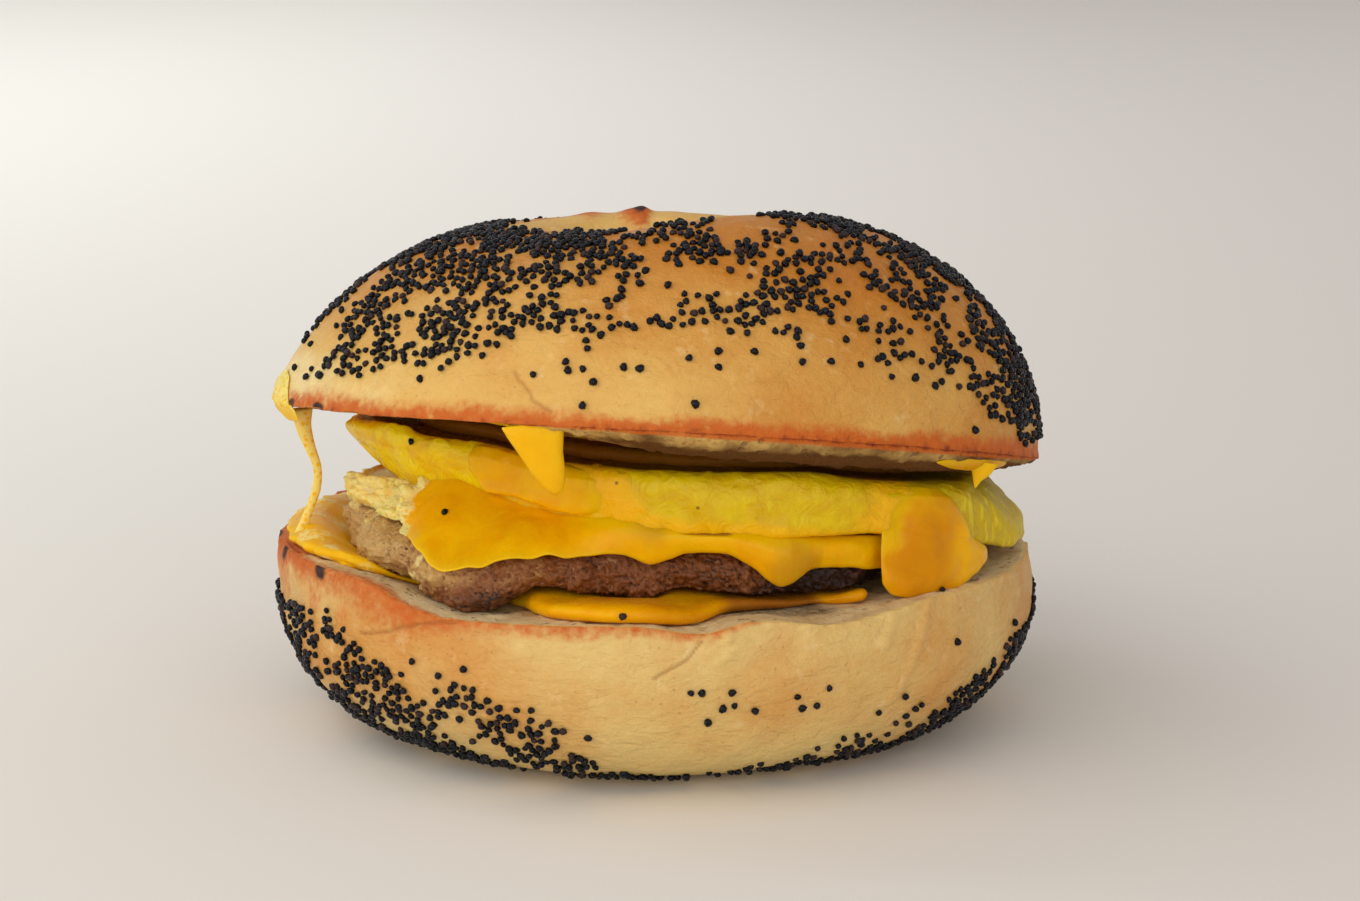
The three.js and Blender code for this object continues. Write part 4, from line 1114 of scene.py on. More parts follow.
def base_cut_face(lumps, degrees):
    """The cut face from the hole's lip out to the rim, darkened under the patty at the front by grease
    and painted shade.
    """
    share = np.linspace(0, 1, 44)[:-1, None] ** 0.75
    radius = mix(BASE_HOLE_LIP_RADIUS, BASE_RIM_RADIUS, share)
    cut = polar(radius, degrees, base_cut_height(radius, degrees))
    cut[..., 2] += 0.2 * lumps.layered(cut, 1.6, 3) * blend(1, 0.97, share)
    leftness = around(BASE_LEFTNESS, degrees)
    reach = around(BASE_TOAST_REACH, degrees) * (0.3 + 0.7 * leftness)
    toast = np.clip(0.8 - (BASE_RIM_RADIUS - radius) / (reach + 0.2), 0, 1) * base_toasted(degrees)
    toast = toast + 0.45 * blend(0.1, 0.6, lumps(cut, 8)) * leftness
    # Grease and painted shade: the crumb under the patty's front edge goes towards the char colour
    grease_and_shade_under_patty = blend(50.5, 46, radius + lumps(cut, 2.5))
    grease_and_shade_under_patty = grease_and_shade_under_patty * blend(274, 284, degrees) * blend(306, 299, degrees)
    return bread_part(cut, 0.2 * lumps(cut, 5), toast, 0.55 * grease_and_shade_under_patty)


def base_underside(lumps, degrees):
    """The pressed foot that the sandwich stands on, and the hole up to the cut face."""
    outer_foot = BASE_FOOT_RADIUS + BASE_FOOT_HALF_WIDTH
    inner_foot = BASE_FOOT_RADIUS - BASE_FOOT_HALF_WIDTH
    foot = polar(np.linspace(outer_foot, inner_foot, 8)[:, None], degrees, 0.0)
    swing = np.pi / 2 * np.linspace(0.25, 1, 18)[:, None]
    throat_radius = mix(BASE_HOLE_RADIUS, inner_foot, 1 - np.sin(swing))
    throat = polar(throat_radius, degrees, BASE_THROAT_HEIGHT * (1 - np.cos(swing)))
    neck = polar(BASE_HOLE_RADIUS, degrees, BASE_CUT_HEIGHT - 2.0)
    under = np.concatenate([foot, throat, neck])
    return bread_part(under, 0.6 + 0.3 * lumps(under, 9))


def make_base_bread(look):
    """The lower half of the bagel, seeded side down."""
    lumps = Lumps(NOISE_SEEDS["base_bread"])
    degrees = turn_angles(look.sides)[None, :]
    cut = base_cut_face(lumps, degrees)
    skin = base_skin(look, lumps, degrees)
    materials = [
        crust_material("base_crust", look.base_pale, look.base_gold, look),
        crumb_material("base_crumb", look.base_crumb, look.base_crumb_dark, look),
    ]
    make_bread("base_bread", (cut, skin, base_underside(lumps, degrees)), (0, len(cut.points) - 1),
               materials, "bagel_base")


# Seeds

CROWN_SEED_LIMITS = [
    (0, 0.1), (60, 0.2), (120, 0.24), (170, 0.34), (195, 0.3), (212, 0.2), (235, 0.24), (250, 0.32),
    (262, 0.34), (280, 0.35), (296, 0.33), (308, 0.26), (322, 0.18), (340, 0.08),
]
BASE_SEED_LIMITS = [
    (0, 0.98), (60, 0.9), (120, 0.9), (175, 1.0), (195, 1.08), (207, 1.25), (225, 1.12), (245, 0.9),
    (258, 0.72), (266, 0.38), (290, 0.36), (300, 0.62), (318, 0.78), (335, 0.9),
]
SEED_SPACING = 0.92
SEED_SIDES = 7
SEED_RINGS = 3
SEED_FLATNESS = 0.42
SEED_BEND = 0.16
SEED_TILT = 0.5
SEED_SIZES = (0.86, 1.18)
SEED_LIFTS = (0.1, 0.42)
LONE_CROWN_SEEDS = [
    (277.6, 0.27), (277.5, 0.22), (274.4, 0.1),
    (289.8, 0.24), (293.9, 0.24), (281.9, 0.33),
]
LONE_BASE_SEEDS = [
    (275, 0.95), (276.7, 0.95), (280.8, 0.94), (279.4, 0.87), (281.2, 0.88), (277.4, 0.8),
    (283.9, 0.85), (294.5, 0.93), (293.2, 0.85), (291, 0.84), (290, 0.9), (317.6, 1.1),
]
STRAY_SEEDS = [
    ("omelette", 217.3, 43.4), ("middle_cheese", 230.2, 35.4), ("lower_cheese", 265.8, 26.5),
    ("upper_cheese", 317.4, 25.5), ("crown_bread", 257.0, 58.4), ("crown_bread", 257.8, 57.4),
    ("crown_bread", 261.5, 56.0), ("crown_bread", 260.1, 53.4), ("base_bread", 216.6, 21.8),
    ("base_bread", 217.4, 20.9), ("base_bread", 216.2, 20.6), ("base_bread", 216.9, 18.6),
]


def seed_arrays(places, normals, look, random):
    """Kidney shaped seeds that lie on a surface, as one mesh."""
    sides, rings = SEED_SIDES, SEED_RINGS
    turn = np.linspace(0, 2 * np.pi, sides, endpoint=False)
    rise = np.linspace(0, np.pi, rings + 2)[1:-1]
    ring = np.stack([np.outer(np.sin(rise), np.cos(turn)), np.outer(np.sin(rise), np.sin(turn)),
                     np.outer(np.cos(rise), np.ones(sides))], axis=-1)
    ball = np.vstack([ring.reshape(-1, 3), [(0, 0, 1), (0, 0, -1)]])
    half_length, width = look.length / MM / 2, look.width / MM
    seed = ball * (half_length, width / 2, width * SEED_FLATNESS)
    seed[:, 1] -= SEED_BEND * width * (1 - (seed[:, 0] / half_length) ** 2)
    faces = [tuple(face) for face in grid_faces(rings, sides, False)]
    end = (rings - 1) * sides
    for side in range(sides):
        faces.append((rings * sides, side, (side + 1) % sides))
        faces.append((rings * sides + 1, end + (side + 1) % sides, end + side))
    points, all_faces, tints = [], [], []
    for index, (place, normal) in enumerate(zip(places, normals)):
        standing = np.array(Vector(normal).to_track_quat("Z", "X").to_matrix())
        spinning = turn_about_z(random.uniform(0, 2 * np.pi))
        tilting = turn_about_y(random.uniform(-SEED_TILT, SEED_TILT))
        size = random.uniform(*SEED_SIZES)
        lift = random.uniform(*SEED_LIFTS) * width
        points.append(seed @ (standing @ spinning @ tilting).T * size + place + normal * lift)
        shift = index * len(seed)
        all_faces.extend([tuple(corner + shift for corner in face) for face in faces])
        tints.append(np.full(len(seed), random.uniform(0, 1)))
    return np.vstack(points), all_faces, {"tint": np.concatenate(tints)}


def keep_apart(places, spacing):
    """Indexes of places that aren't nearer than the spacing to one already kept."""
    cells = {}
    kept = []
    for index, place in enumerate(places):
        cell = tuple(np.floor(place / spacing).astype(int))
        near = (cells.get((cell[0] + dx, cell[1] + dy, cell[2] + dz), ())
                for dx, dy, dz in itertools.product((-1, 0, 1), repeat=3))
        if all(np.dot(place - other, place - other) >= spacing * spacing
               for group in near for other in group):
            cells.setdefault(cell, []).append(place)
            kept.append(index)
    return kept


def nearest_on(name, places):
    """The nearest places on a piece's own surface, and the directions away from it."""
    piece = bpy.data.objects[name]
    found = [piece.closest_point_on_mesh(Vector((place * MM).tolist())) for place in places]
    spots = np.array([tuple(place) for _, place, _, _ in found]) / MM
    return spots, np.array([tuple(normal) for _, _, normal, _ in found])


def found_on(name, degrees, height):
    """The outermost place of a piece at an angle and height, and the direction away from it."""
    start = polar(80.0, degrees, height)
    inward = Vector((*(-start[:2]).tolist(), 0.0)).normalized()
    hit, place, normal, _ = bpy.data.objects[name].ray_cast(Vector((start * MM).tolist()), inward)
    if not hit:
        raise RuntimeError(f"No surface of {name} at {degrees} degrees and {height} mm")
    return np.array(place) / MM, np.array(normal)


def make_crown_seeds(look):
    """Poppy seeds on the crown, in clumps above its bare edge."""
    random = np.random.default_rng(SCATTER_SEEDS["crown"])
    lumps = Lumps(NOISE_SEEDS["crown_seeds"])
    degrees = random.uniform(0, 360, look.crown_tries)
    along = random.uniform(0.02, 0.99, look.crown_tries)
    places = crown_crust(along, degrees)
    limit = around(CROWN_SEED_LIMITS, degrees)
    clump = lumps.layered(places, 5.0, 3, 0.9) + 0.1 * blend(0.5, 0.95, along)
    clump = clump + 0.06 * np.exp(-((degrees - 233) / 15) ** 2 - ((along - 0.38) / 0.17) ** 2)
    clump = clump - 0.35 * blend(160, 178, degrees) * blend(214, 200, degrees)
    fade = blend(-0.08, 0.08, along - limit)
    wanted = fade * blend(-0.07, 0.14, clump - 0.3 * (1 - fade)) + 0.004
    bare_crest = blend(0.86, 0.78, along) + (1 - blend(15, 35, degrees) * blend(165, 145, degrees))
    bare_skyline = blend(276, 283, degrees) * blend(300, 294, degrees) * blend(0.68, 0.76, along)
    wanted = wanted * (1 - bare_skyline)
    crowded = np.linalg.norm(places[:, :2], axis=-1) / around(CROWN_RADII, degrees)
    wanted = wanted * np.minimum(bare_crest, 1) * crowded
    chosen = random.uniform(0, 1, look.crown_tries) < wanted * (along > limit - 0.16)
    degrees, along = np.vstack([LONE_CROWN_SEEDS, np.column_stack([degrees, along])[chosen]]).T
    places, normals = nearest_on("crown_bread", crown_crust(along, degrees))
    kept = keep_apart(places, SEED_SPACING)
    arrays = seed_arrays(places[kept], normals[kept], look, random)
    make_piece("crown_seeds", arrays, [seed_material()])


def make_base_seeds(look):
    """Poppy seeds on the base below its rim, and the strays on the fillings."""
    random = np.random.default_rng(SCATTER_SEEDS["base"])
    lumps = Lumps(NOISE_SEEDS["base_seeds"])
    degrees = random.uniform(0, 360, look.base_tries)
    along = random.uniform(0.3, 1.6, look.base_tries)
    places = base_crust(along, degrees)
    limit = around(BASE_SEED_LIMITS, degrees)
    clump = lumps.layered(places, 5.0, 3, 0.9)
    fade = blend(0.08, -0.1, along - limit)
    under = blend(0.5, 0.36, along)
    wanted = fade * blend(0.0, 0.3, clump + 0.1 + 0.2 * under - 0.25 * (1 - fade)) + 0.006
    chosen = random.uniform(0, 1, look.base_tries) < wanted * (along < limit + 0.14)
    chosen &= places[:, 2] > 0.3
    degrees, along = np.vstack([LONE_BASE_SEEDS, np.column_stack([degrees, along])[chosen]]).T
    places, normals = nearest_on("base_bread", base_crust(along, degrees))
    kept = keep_apart(places, SEED_SPACING)
    stray = np.array([found_on(name, turn, height) for name, turn, height in STRAY_SEEDS])
    arrays = seed_arrays(np.vstack([places[kept], stray[:, 0]]),
                         np.vstack([normals[kept], stray[:, 1]]), look, random)
    arrays[0][:, 2] = np.maximum(arrays[0][:, 2], 0.0)
    make_piece("base_seeds", arrays, [seed_material()])


# Filling pieces

PATTY_SIDE = [
    (1, 6.0, 1.0), (1, 3.2, 0.99), (1, 1.5, 0.93), (1, 0.5, 0.78), (1, 0.1, 0.58), (1, 0.15, 0.38),
    (1, 0.8, 0.18), (1, 2.0, 0.04), (1, 4.0, 0.0),
]
EGG_SIDE = [
    (1, 6.0, 1.0), (1, 3.0, 1.0), (1, 1.1, 0.93), (1, 0.2, 0.8), (1, 0.0, 0.62), (1, 0.1, 0.42),
    (1, 0.2, 0.25), (1, 1.0, 0.08), (1, 3.5, 0.0),
]


def slab_stops(side, count):
    """Stops over the top, down the side on a smooth curve and back under."""
    inset_top, inset_bottom = side[0][1], side[-1][1]
    top = [(share, inset_top * share, 1.0) for share in (0.1, 0.3, 0.5, 0.68, 0.82, 0.92)]
    bottom = [(share, inset_bottom * share, 0.0) for share in (0.92, 0.82, 0.68, 0.5, 0.3, 0.1)]
    return top + [tuple(row) for row in smooth_steps(side, count)] + bottom


def near_line(degrees, height, start, end, width):
    """1 on the line between two places (angle, height) of a filling's side, 0 beside it."""
    return line_nearness(degrees, height, (start, end), width, scale=FILLING_MM_PER_DEGREE)


def patty_edge(degrees, level):
    """Radius of the patty, fuller and wider at the foot beside its lobe."""
    fuller = blend(198, 207, degrees) * blend(229, 220, degrees)
    return around(PATTY_RADII, degrees) + fuller * (0.8 + 1.2 * (1 - level))


def make_patty(look):
    """The rough browned patty."""
    lumps = Lumps(NOISE_SEEDS["patty"])
    raised_top = lambda x, y: patty_top(x, y) + 1.6 * blend(-27, -38, x) * blend(6, -8, y)
    rings = slab_rings(look.sides * 2, slab_stops(PATTY_SIDE, 46), patty_edge, patty_bottom, raised_top)
    way = outward_from(rings, PATTY_CORE)
    mince = np.abs(lumps.layered(rings, 2.4, 4, 0.75))
    chunks = lumps.layered(rings + 40, 5.0, 2, 0.7)
    grains = np.abs(lumps.layered(rings + 90, 1.2, 2, 0.7))
    rings = moved(rings, way, 0.8 * chunks + 0.7 * mince + 0.4 * grains - 0.15)
    x, y, z = rings[..., 0], rings[..., 1], rings[..., 2]
    degrees = angle_of(x, y)
    sear = 0.08 * blend(-42, -35, x) + 0.24 * blend(-32, -26, x) + 0.26 * blend(-21, -10, x)
    sear = sear + 0.46 * blend(8, 20, x)
    sear = sear + 0.2 * lumps(rings, 7) - 0.04
    sear = sear + 0.38 * blend(29, 26, z) * blend(-34, -27, x) * blend(-12, -20, x)
    sear = sear + 0.3 * blend(26.8, 24.8, z) * blend(-20, -12, x)
    cream = near_line(degrees, z, (231, 31.5), (227, 25.8), 1.3) * blend(-0.7, 0.3, lumps(rings, 1.1))
    residue = blend(214, 204, degrees) * blend(28, 32.5, z) * blend(-0.2, 0.6, lumps(rings, 1.7))
    # Painted shade in the crevices between the mince's grains
    sear = sear + 0.3 * blend(0.16, 0.0, mince) + 0.14 * blend(0.1, 0.0, grains)
    shell = Shell(rings, sear=sear, cream=np.maximum(cream, residue * (y < 0)))
    make_piece("sausage_meat", shell.arrays(), [sausage_material(look)], "sausage_patty")


def egg_edge(degrees, level):
    """Radius of the omelette's edge at a level from its underside (0) to its top (1)."""
    return around(EGG_TOP_RADII, degrees) - around(EGG_UNDERCUT, degrees) * (1 - level)


def egg_underside(x, y):
    """The omelette's bottom, which lifts over the cheese at the front left."""
    return egg_bottom(x, y) + 2.6 * blend(-24, -38, x) * blend(2, -12, y)


def egg_face(degrees, height):
    """Radius of the omelette's side at a height."""
    rim = polar(around(EGG_TOP_RADII, degrees) - 1.0, degrees, 0.0)
    low = egg_underside(rim[..., 0], rim[..., 1])
    high = egg_top(rim[..., 0], rim[..., 1])
    level = (height - low) / (high - low)
    side = np.array(EGG_SIDE)[::-1]
    inset = np.interp(np.clip(level, 0, 1), side[:, 2], side[:, 1])
    return egg_edge(degrees, np.clip(level, 0, 1)) - inset


def egg_skin(points, extra=0.0, fluted=1.0):
    """Moves points of the omelette's plain form out to its lumpy skin, or further."""
    lumps = Lumps(NOISE_SEEDS["egg_folds"])
    way = outward_from(points, EGG_CORE)
    right = blend(28, 44, points[..., 0])
    flutes = lumps(points * (1, 1, 0.2), 1.7)
    soft = 0.5 * lumps.layered(points, 8, 2) + 0.3 * lumps(points + 30, 3.1)
    wrinkles = 0.18 * lumps.layered(points * (1, 1, 0.7) + 70, 1.5, 2)
    return moved(points, way, soft + fluted * (wrinkles + (0.08 + 0.2 * right) * flutes) + extra)


CHEESE_SEAM_HEIGHTS = [
    (0, 29.5), (60, 32), (120, 33), (180, 35.4), (200, 36.4), (212, 37.2), (220, 38.2),
    (226, 38.5), (233, 37.5), (242, 36.6), (251, 36.3), (260, 36.2), (269, 35.6), (277, 35.0),
    (284, 34.9), (295, 34.0), (303, 33.2), (312, 32.4), (325, 31.4), (340, 30.0),
]


def seam_height(degrees):
    """Height at which the middle cheese meets the omelette's side."""
    return around(CHEESE_SEAM_HEIGHTS, degrees)


def make_egg(look):
    """The folded omelette."""
    lumps = Lumps(NOISE_SEEDS["egg"])
    rings = slab_rings(look.sides, slab_stops(EGG_SIDE, 50), egg_edge, egg_underside, egg_top)
    rings = egg_skin(rings)
    level = np.array([stop[2] for stop in slab_stops(EGG_SIDE, 50)])[:, None]
    ragged = blend(0.75, 0.97, level) * blend(0.2, 0.9, lumps.layered(rings, 2.4, 2)) * (level < 1.01)
    front = blend(34, 38, np.hypot(rings[..., 0], rings[..., 1]))
    rings[..., 2] += 0.5 * ragged * front * blend(26, -10, rings[..., 0])
    x, y, z = rings[..., 0], rings[..., 1], rings[..., 2]
    degrees = angle_of(x, y)
    above_seam = z - seam_height(degrees)
    seam = blend(3.4, 0.0, above_seam) * blend(232, 246, degrees) * blend(322, 312, degrees)
    tongue = near_line(degrees, z, (307, 31), (311, 37.0), 9.5) * 0.95
    flap_end = near_line(degrees, z, (264, 37), (255, 43), 7.5)
    melt = np.maximum(seam * 0.85, np.maximum(tongue, flap_end)) * blend(0, -8, y)
    inset = around(EGG_TOP_RADII, degrees) - np.hypot(x, y)
    # Painted shade on the top that lies in the shade under the crown
    shaded_under_crown = blend(1.0, 3.0, inset) * (level >= 1.0) * blend(40, 32, x)
    dull = 0.6 * blend(-26, 2, x) + 0.4 * blend(24, 46, x)
    shell = Shell(rings, fold=ragged * 0.6, dull=dull, melt=melt, browned=shaded_under_crown)
    make_piece("omelette", shell.arrays(), [egg_material(look)], "egg_omelette")


CHEESE_LOW_HEIGHTS = [
    (0, 27.6), (90, 27.8), (180, 30.5), (198, 32.0), (206, 32.4), (214, 32.8), (220, 32.9),
    (223, 32.0), (228, 31.9), (232, 31.4), (235, 30.0), (239, 29.9), (243.6, 31.1), (250, 32.0),
    (256, 31.7), (264, 31.7), (269, 30.5), (273, 31.4), (276, 32.1), (284, 31.8), (286.8, 30.6),
    (289, 28.9), (291, 27.8), (292.6, 28.3), (294.6, 29.2), (300, 29.6), (304, 29.3), (309, 28.4),
    (318, 27.4), (335, 27.2),
]
CHEESE_LOW_REACH = [
    (0, 0.8), (90, 0.8), (150, 0), (180, -4), (205, -1.4), (214, -1.2), (221, -1.4), (226, -0.4),
    (231, 0.6), (250, 0.9), (256, 1.1), (284, 1.2), (292, 1.3), (309, 1.0),
]


def cheese_shell(rings, **values):
    """A shell for melted cheese, without froth, melt or painted crease shade unless they are given."""
    return Shell(rings, **{"froth": 0.0, "melt": 0.0, "crease": 0.0, **values})


def make_cheese(name, shells, material_name, node, look):
    """A piece of melted cheese from one or more shells."""
    make_piece(name, joined(shells), [cheese_material(material_name, look)], node)


def middle_cheese_stops(lumps, degrees):
    """Key rings of the slice: over the patty, down its front, and back under the fold."""
    open_front = blend(196, 212, degrees) * blend(332, 318, degrees)
    patty = around(PATTY_RADII, degrees)
    wave = 0.35 * lumps(polar(patty, degrees, 0.0), 2.2)
    seam = seam_height(degrees)
    open_radius = egg_face(degrees, seam) - 0.25 + 0.6 * blend(272, 288, degrees)
    inner = polar(patty - 2, degrees, 0.0)
    closed_seam = egg_underside(inner[:, 0], inner[:, 1]) - 0.3
    top_radius = mix(patty - 0.6, open_radius, open_front)
    top_height = mix(closed_seam, seam, open_front)
    low_radius = patty + around(CHEESE_LOW_REACH, degrees)
    low_height = around(CHEESE_LOW_HEIGHTS, degrees) + wave
    low_radius = np.maximum(low_radius, top_radius + 0.4)
    bulge = 0.5 + 0.5 * blend(262, 272, degrees) * blend(312, 300, degrees)

    def ring(radius, height):
        return polar(radius, degrees, height)

    def between(share, out):
        return ring(mix(top_radius, low_radius, share) + out * 0.8,
                    mix(top_height, low_height, share) + out * 0.6)

    seat = patty_top(inner[:, 0], inner[:, 1])
    return [
        ring(0.1 * patty, 33.0), ring(0.6 * patty, 33.0), ring(0.86 * top_radius, 33.2),
        ring(top_radius - 1.6, top_height - 0.2), ring(top_radius - 0.3, top_height + 0.3),
        between(0.18, bulge * 0.7), between(0.4, bulge * 1.1), between(0.6, bulge * 1.1),
        between(0.78, bulge * 0.85), between(0.92, bulge * 0.45),
        ring(low_radius - 0.05, low_height + 0.1), ring(low_radius - 0.55, low_height - 0.1),
        ring(low_radius - 1.1, low_height + 0.1),
        ring(low_radius - 1.9, low_height + 0.4), ring(0.86 * patty, seat + 0.1),
        ring(0.5 * patty, seat + 0.1), ring(0.1 * patty, seat + 0.1),
    ]


def make_middle_cheese(look):
    """The slice between patty and omelette, which hangs over the front."""
    lumps = Lumps(NOISE_SEEDS["middle_cheese"])
    degrees = turn_angles(look.sides * 2)
    stops = middle_cheese_stops(lumps, degrees)
    rings = smooth_steps(stops, MIDDLE_CHEESE_RINGS)
    way = outward_from(rings, MIDDLE_CHEESE_CORE)
    place = np.linspace(0, len(stops) - 1, MIDDLE_CHEESE_RINGS)[:, None]
    showing = blend(3, 5, place) * blend(13.5, 12, place)
    froth_line = 216 + 5 * blend(4, 9, place) + 2.5 * lumps(rings, 2.4)
    froth = blend(3, -1.5, degrees - froth_line) * blend(164, 178, degrees)
    foam = np.abs(lumps.layered(rings, 2.4, 3, 0.65))
    frothy = 1.7 * (foam - 0.35) * froth
    calm = 0.3 * lumps.layered(rings, 6, 2) + 0.07 * lumps(rings + 20, 1.8)
    rings = moved(rings, way, (frothy + calm) * showing)
    low_rim = np.exp(-((place - 10.0) / 1.3) ** 2)
    melt = blend(8.5, 4.0, place) * blend(244, 262, degrees)
    melt = np.maximum(melt, 0.5 * blend(250, 266, degrees) * blend(318, 306, degrees))
    # Painted shade: a dark line along the seam under the omelette's front
    crease_shade_line = np.exp(-((place - 4.6) / 0.9) ** 2) * blend(270, 276, degrees)
    # Painted shade: the lower front at the right takes the darker thick colour
    thin = low_rim * 0.7 - 0.4 * blend(264, 280, degrees) * blend(6, 9, place)
    # Painted shade along that seam, in the hollows between froth lumps and in patches over the front
    # right
    crease = crease_shade_line * blend(-0.1, 0.35, lumps(rings * (0.5, 0.5, 1), 3.5))
    crease = np.maximum(crease, 0.8 * froth * blend(0.35, 0.1, foam))
    crease = np.maximum(crease, 0.5 * blend(256, 272, degrees) * blend(-0.6, 0.4, lumps(rings, 6)))
    shell = cheese_shell(rings, thin=thin, froth=froth, melt=melt, crease=crease)
    make_cheese("middle_cheese", [shell], "cheese_middle", "cheese_middle", look)


def patch(outline, place_at, thickness, power, sides=220, rings=30, sunk=0.5):
    """A melted sheet on a surface: an outline in the surface's own two measures, a thickness and
    how late it thins towards its edge. place_at turns both measures and a height into a place."""
    loop = np.array(list(outline) + [outline[0]], float)
    steps = np.linalg.norm(np.diff(loop, axis=0), axis=1)
    walk = np.concatenate([[0], np.cumsum(steps)])
    even = np.linspace(0, walk[-1], sides, endpoint=False)
    line = np.stack([np.interp(even, walk, loop[:, axis]) for axis in (0, 1)], axis=-1)
    for _ in range(2):
        line = (np.roll(line, 1, 0) + 2 * line + np.roll(line, -1, 0)) / 4
    middle = line.mean(axis=0)
    top_shares = np.sin(np.linspace(0.04, np.pi / 2, rings))
    shares = np.concatenate([top_shares, (0.9, 0.6, 0.3, 0.04)])
    out = []
    for index, share in enumerate(shares):
        flat = middle + (line - middle) * share
        if index < rings:
            rise = thickness(flat) * max(0.0, 1 - share ** power) ** 0.5 - 0.02
        else:
            rise = np.full(sides, -sunk)
        out.append(place_at(flat[:, 0], flat[:, 1], rise))
    return cheese_shell(out, thin=0.8 * shares[:, None] ** 10)


def on_egg(degrees, height, rise):
    """A place on or above the omelette's side."""
    return egg_skin(polar(egg_face(degrees, height), degrees, height), rise)


FLAP_OUTLINE = [
    (230.2, 44.0), (229.6, 42.2), (229.8, 40.4), (231.0, 39.6), (232.6, 38.4), (233.8, 37.7),
    (236.5, 37.6), (242, 37.7), (247, 37.3), (252.5, 36.6), (257, 36.3), (260.5, 36.9),
    (262.5, 38.6), (261.5, 40.6), (259, 41.8), (254, 42.4), (247, 42.9), (240, 43.5),
]
TONGUE_OUTLINE = [
    (309.0, 38.5), (308.4, 35), (307.9, 31.5), (307.8, 29), (308.0, 26.8), (309.2, 25.4),
    (312.4, 24.9), (318.3, 24.8), (323.4, 25.0), (328.0, 26.0), (331.8, 27.3), (332.2, 28.6),
    (329.5, 30.0), (326.6, 31.6), (325.0, 34.0), (323.6, 36.4), (321.0, 38.4), (316, 39.6),
    (310.2, 39.6),
]


def on_front_wall(degrees, height, rise):
    """A place in front of the omelette's side, carried straight down to the bread below it."""
    rim = polar(around(EGG_TOP_RADII, degrees) - 1.0, degrees, 0.0)
    low = egg_underside(rim[..., 0], rim[..., 1]) + 1.5
    radius = egg_face(degrees, np.maximum(height, low)) + 0.1 * np.maximum(0, low - height)
    return egg_skin(polar(radius, degrees, height), rise, 0.15)


def make_upper_cheese(look):
    """The slice on the omelette, with its flap and its thick tongue."""
    lumps = Lumps(NOISE_SEEDS["upper_cheese"])
    degrees = turn_angles(look.sides)
    outline = around(EGG_TOP_RADII, degrees) - 12 + 0.5 * lumps(polar(40.0, degrees, 0.0), 4.0)
    stops = smooth_steps([
        (0.1, 0, 1), (0.6, 0, 1), (0.9, 0, 1), (1, 1.2, 1), (1, 0.2, 0.8), (1, 0, 0.5), (1, 0.2, 0.2),
        (1, 1.2, 0), (0.9, 0, 0), (0.6, 0, 0), (0.1, 0, 0)], 22)
    sheet = []
    for share, inset, level in stops:
        points = polar(np.maximum(outline * share - inset, 1.0), degrees, 0.0)
        x, y = points[:, 0], points[:, 1]
        points[:, 2] = np.minimum(egg_top(x, y) - 0.3 + 2.0 * level, crown_floor(x, y) - 0.3)
        sheet.append(points)
    # Painted shade: the slab lies in shade under the crown, so it is all greasy brown
    slab = cheese_shell(sheet, thin=0.2, crease=1.0)

    def flap_thickness(flat):
        over_slice = blend(39.6, 37.6, flat[:, 1])
        return mix(0.85, 1.7, over_slice) * blend(262, 249, flat[:, 0])

    flap = patch(FLAP_OUTLINE, on_egg, flap_thickness, 12)
    turn = angle_of(flap.points[..., 0], flap.points[..., 1])
    flap.values["melt"] = blend(252, 262, turn) * 0.55
    flap.values["thin"] = flap.values["thin"] * blend(260, 246, turn)

    def tongue_thickness(flat):
        spread = np.maximum(blend(307, 317, flat[:, 0]), blend(30.5, 27.5, flat[:, 1]))
        return mix(0.12, 1.9, spread) * mix(1, 0.12, blend(32, 39, flat[:, 1]))

    tongue = patch(TONGUE_OUTLINE, on_front_wall, tongue_thickness, 4, sides=260, rings=44, sunk=1.0)
    x, z = tongue.points[..., 0], tongue.points[..., 2]
    tongue.values["thin"] = tongue.values["thin"] * 0.4 - 0.7 * blend(41, 33, z) * blend(43, 37.5, x)
    tongue.values["melt"] = np.clip(blend(35.5, 40, z) + blend(35, 30, x) * blend(28.5, 33, z), 0, 1)
    for shell in (flap, tongue):
        way = outward_from(shell.points, UPPER_CHEESE_CORE)
        shell.points = moved(shell.points, way, 0.12 * lumps.layered(shell.points, 2.6, 2))
    make_cheese("upper_cheese", [slab, flap, tongue], "cheese_upper", "cheese_upper", look)


LOWER_SIDE = [
    (1, 5.0, 1.0), (1, 3.0, 1.0), (1, 1.6, 0.96), (1, 0.6, 0.84), (1, 0.1, 0.62), (1, 0.1, 0.38),
    (1, 0.6, 0.14), (1, 2.0, 0.0), (1, 4.0, 0.0),
]
CHEESE_LOWER_RADII = [
    (0, 30), (45, 30), (90, 24), (118, 30), (135, 40), (150, 48), (160, 50.3), (170, 51.2),
    (178, 51.6), (192, 51.8), (203, 51.4), (212, 48.5), (222, 43), (240, 41), (246, 43), (250, 46),
    (254, 49.2), (258, 51.2), (263, 52.3), (267, 52.4), (271, 51.5), (275, 49.8), (279, 46.8),
    (282.5, 44.2), (287, 43.2), (294, 43.0), (299.5, 42.6), (301.6, 43.2), (304.4, 45.8),
    (307.3, 46.4), (309.4, 42.5), (311.5, 30), (325, 34),
]


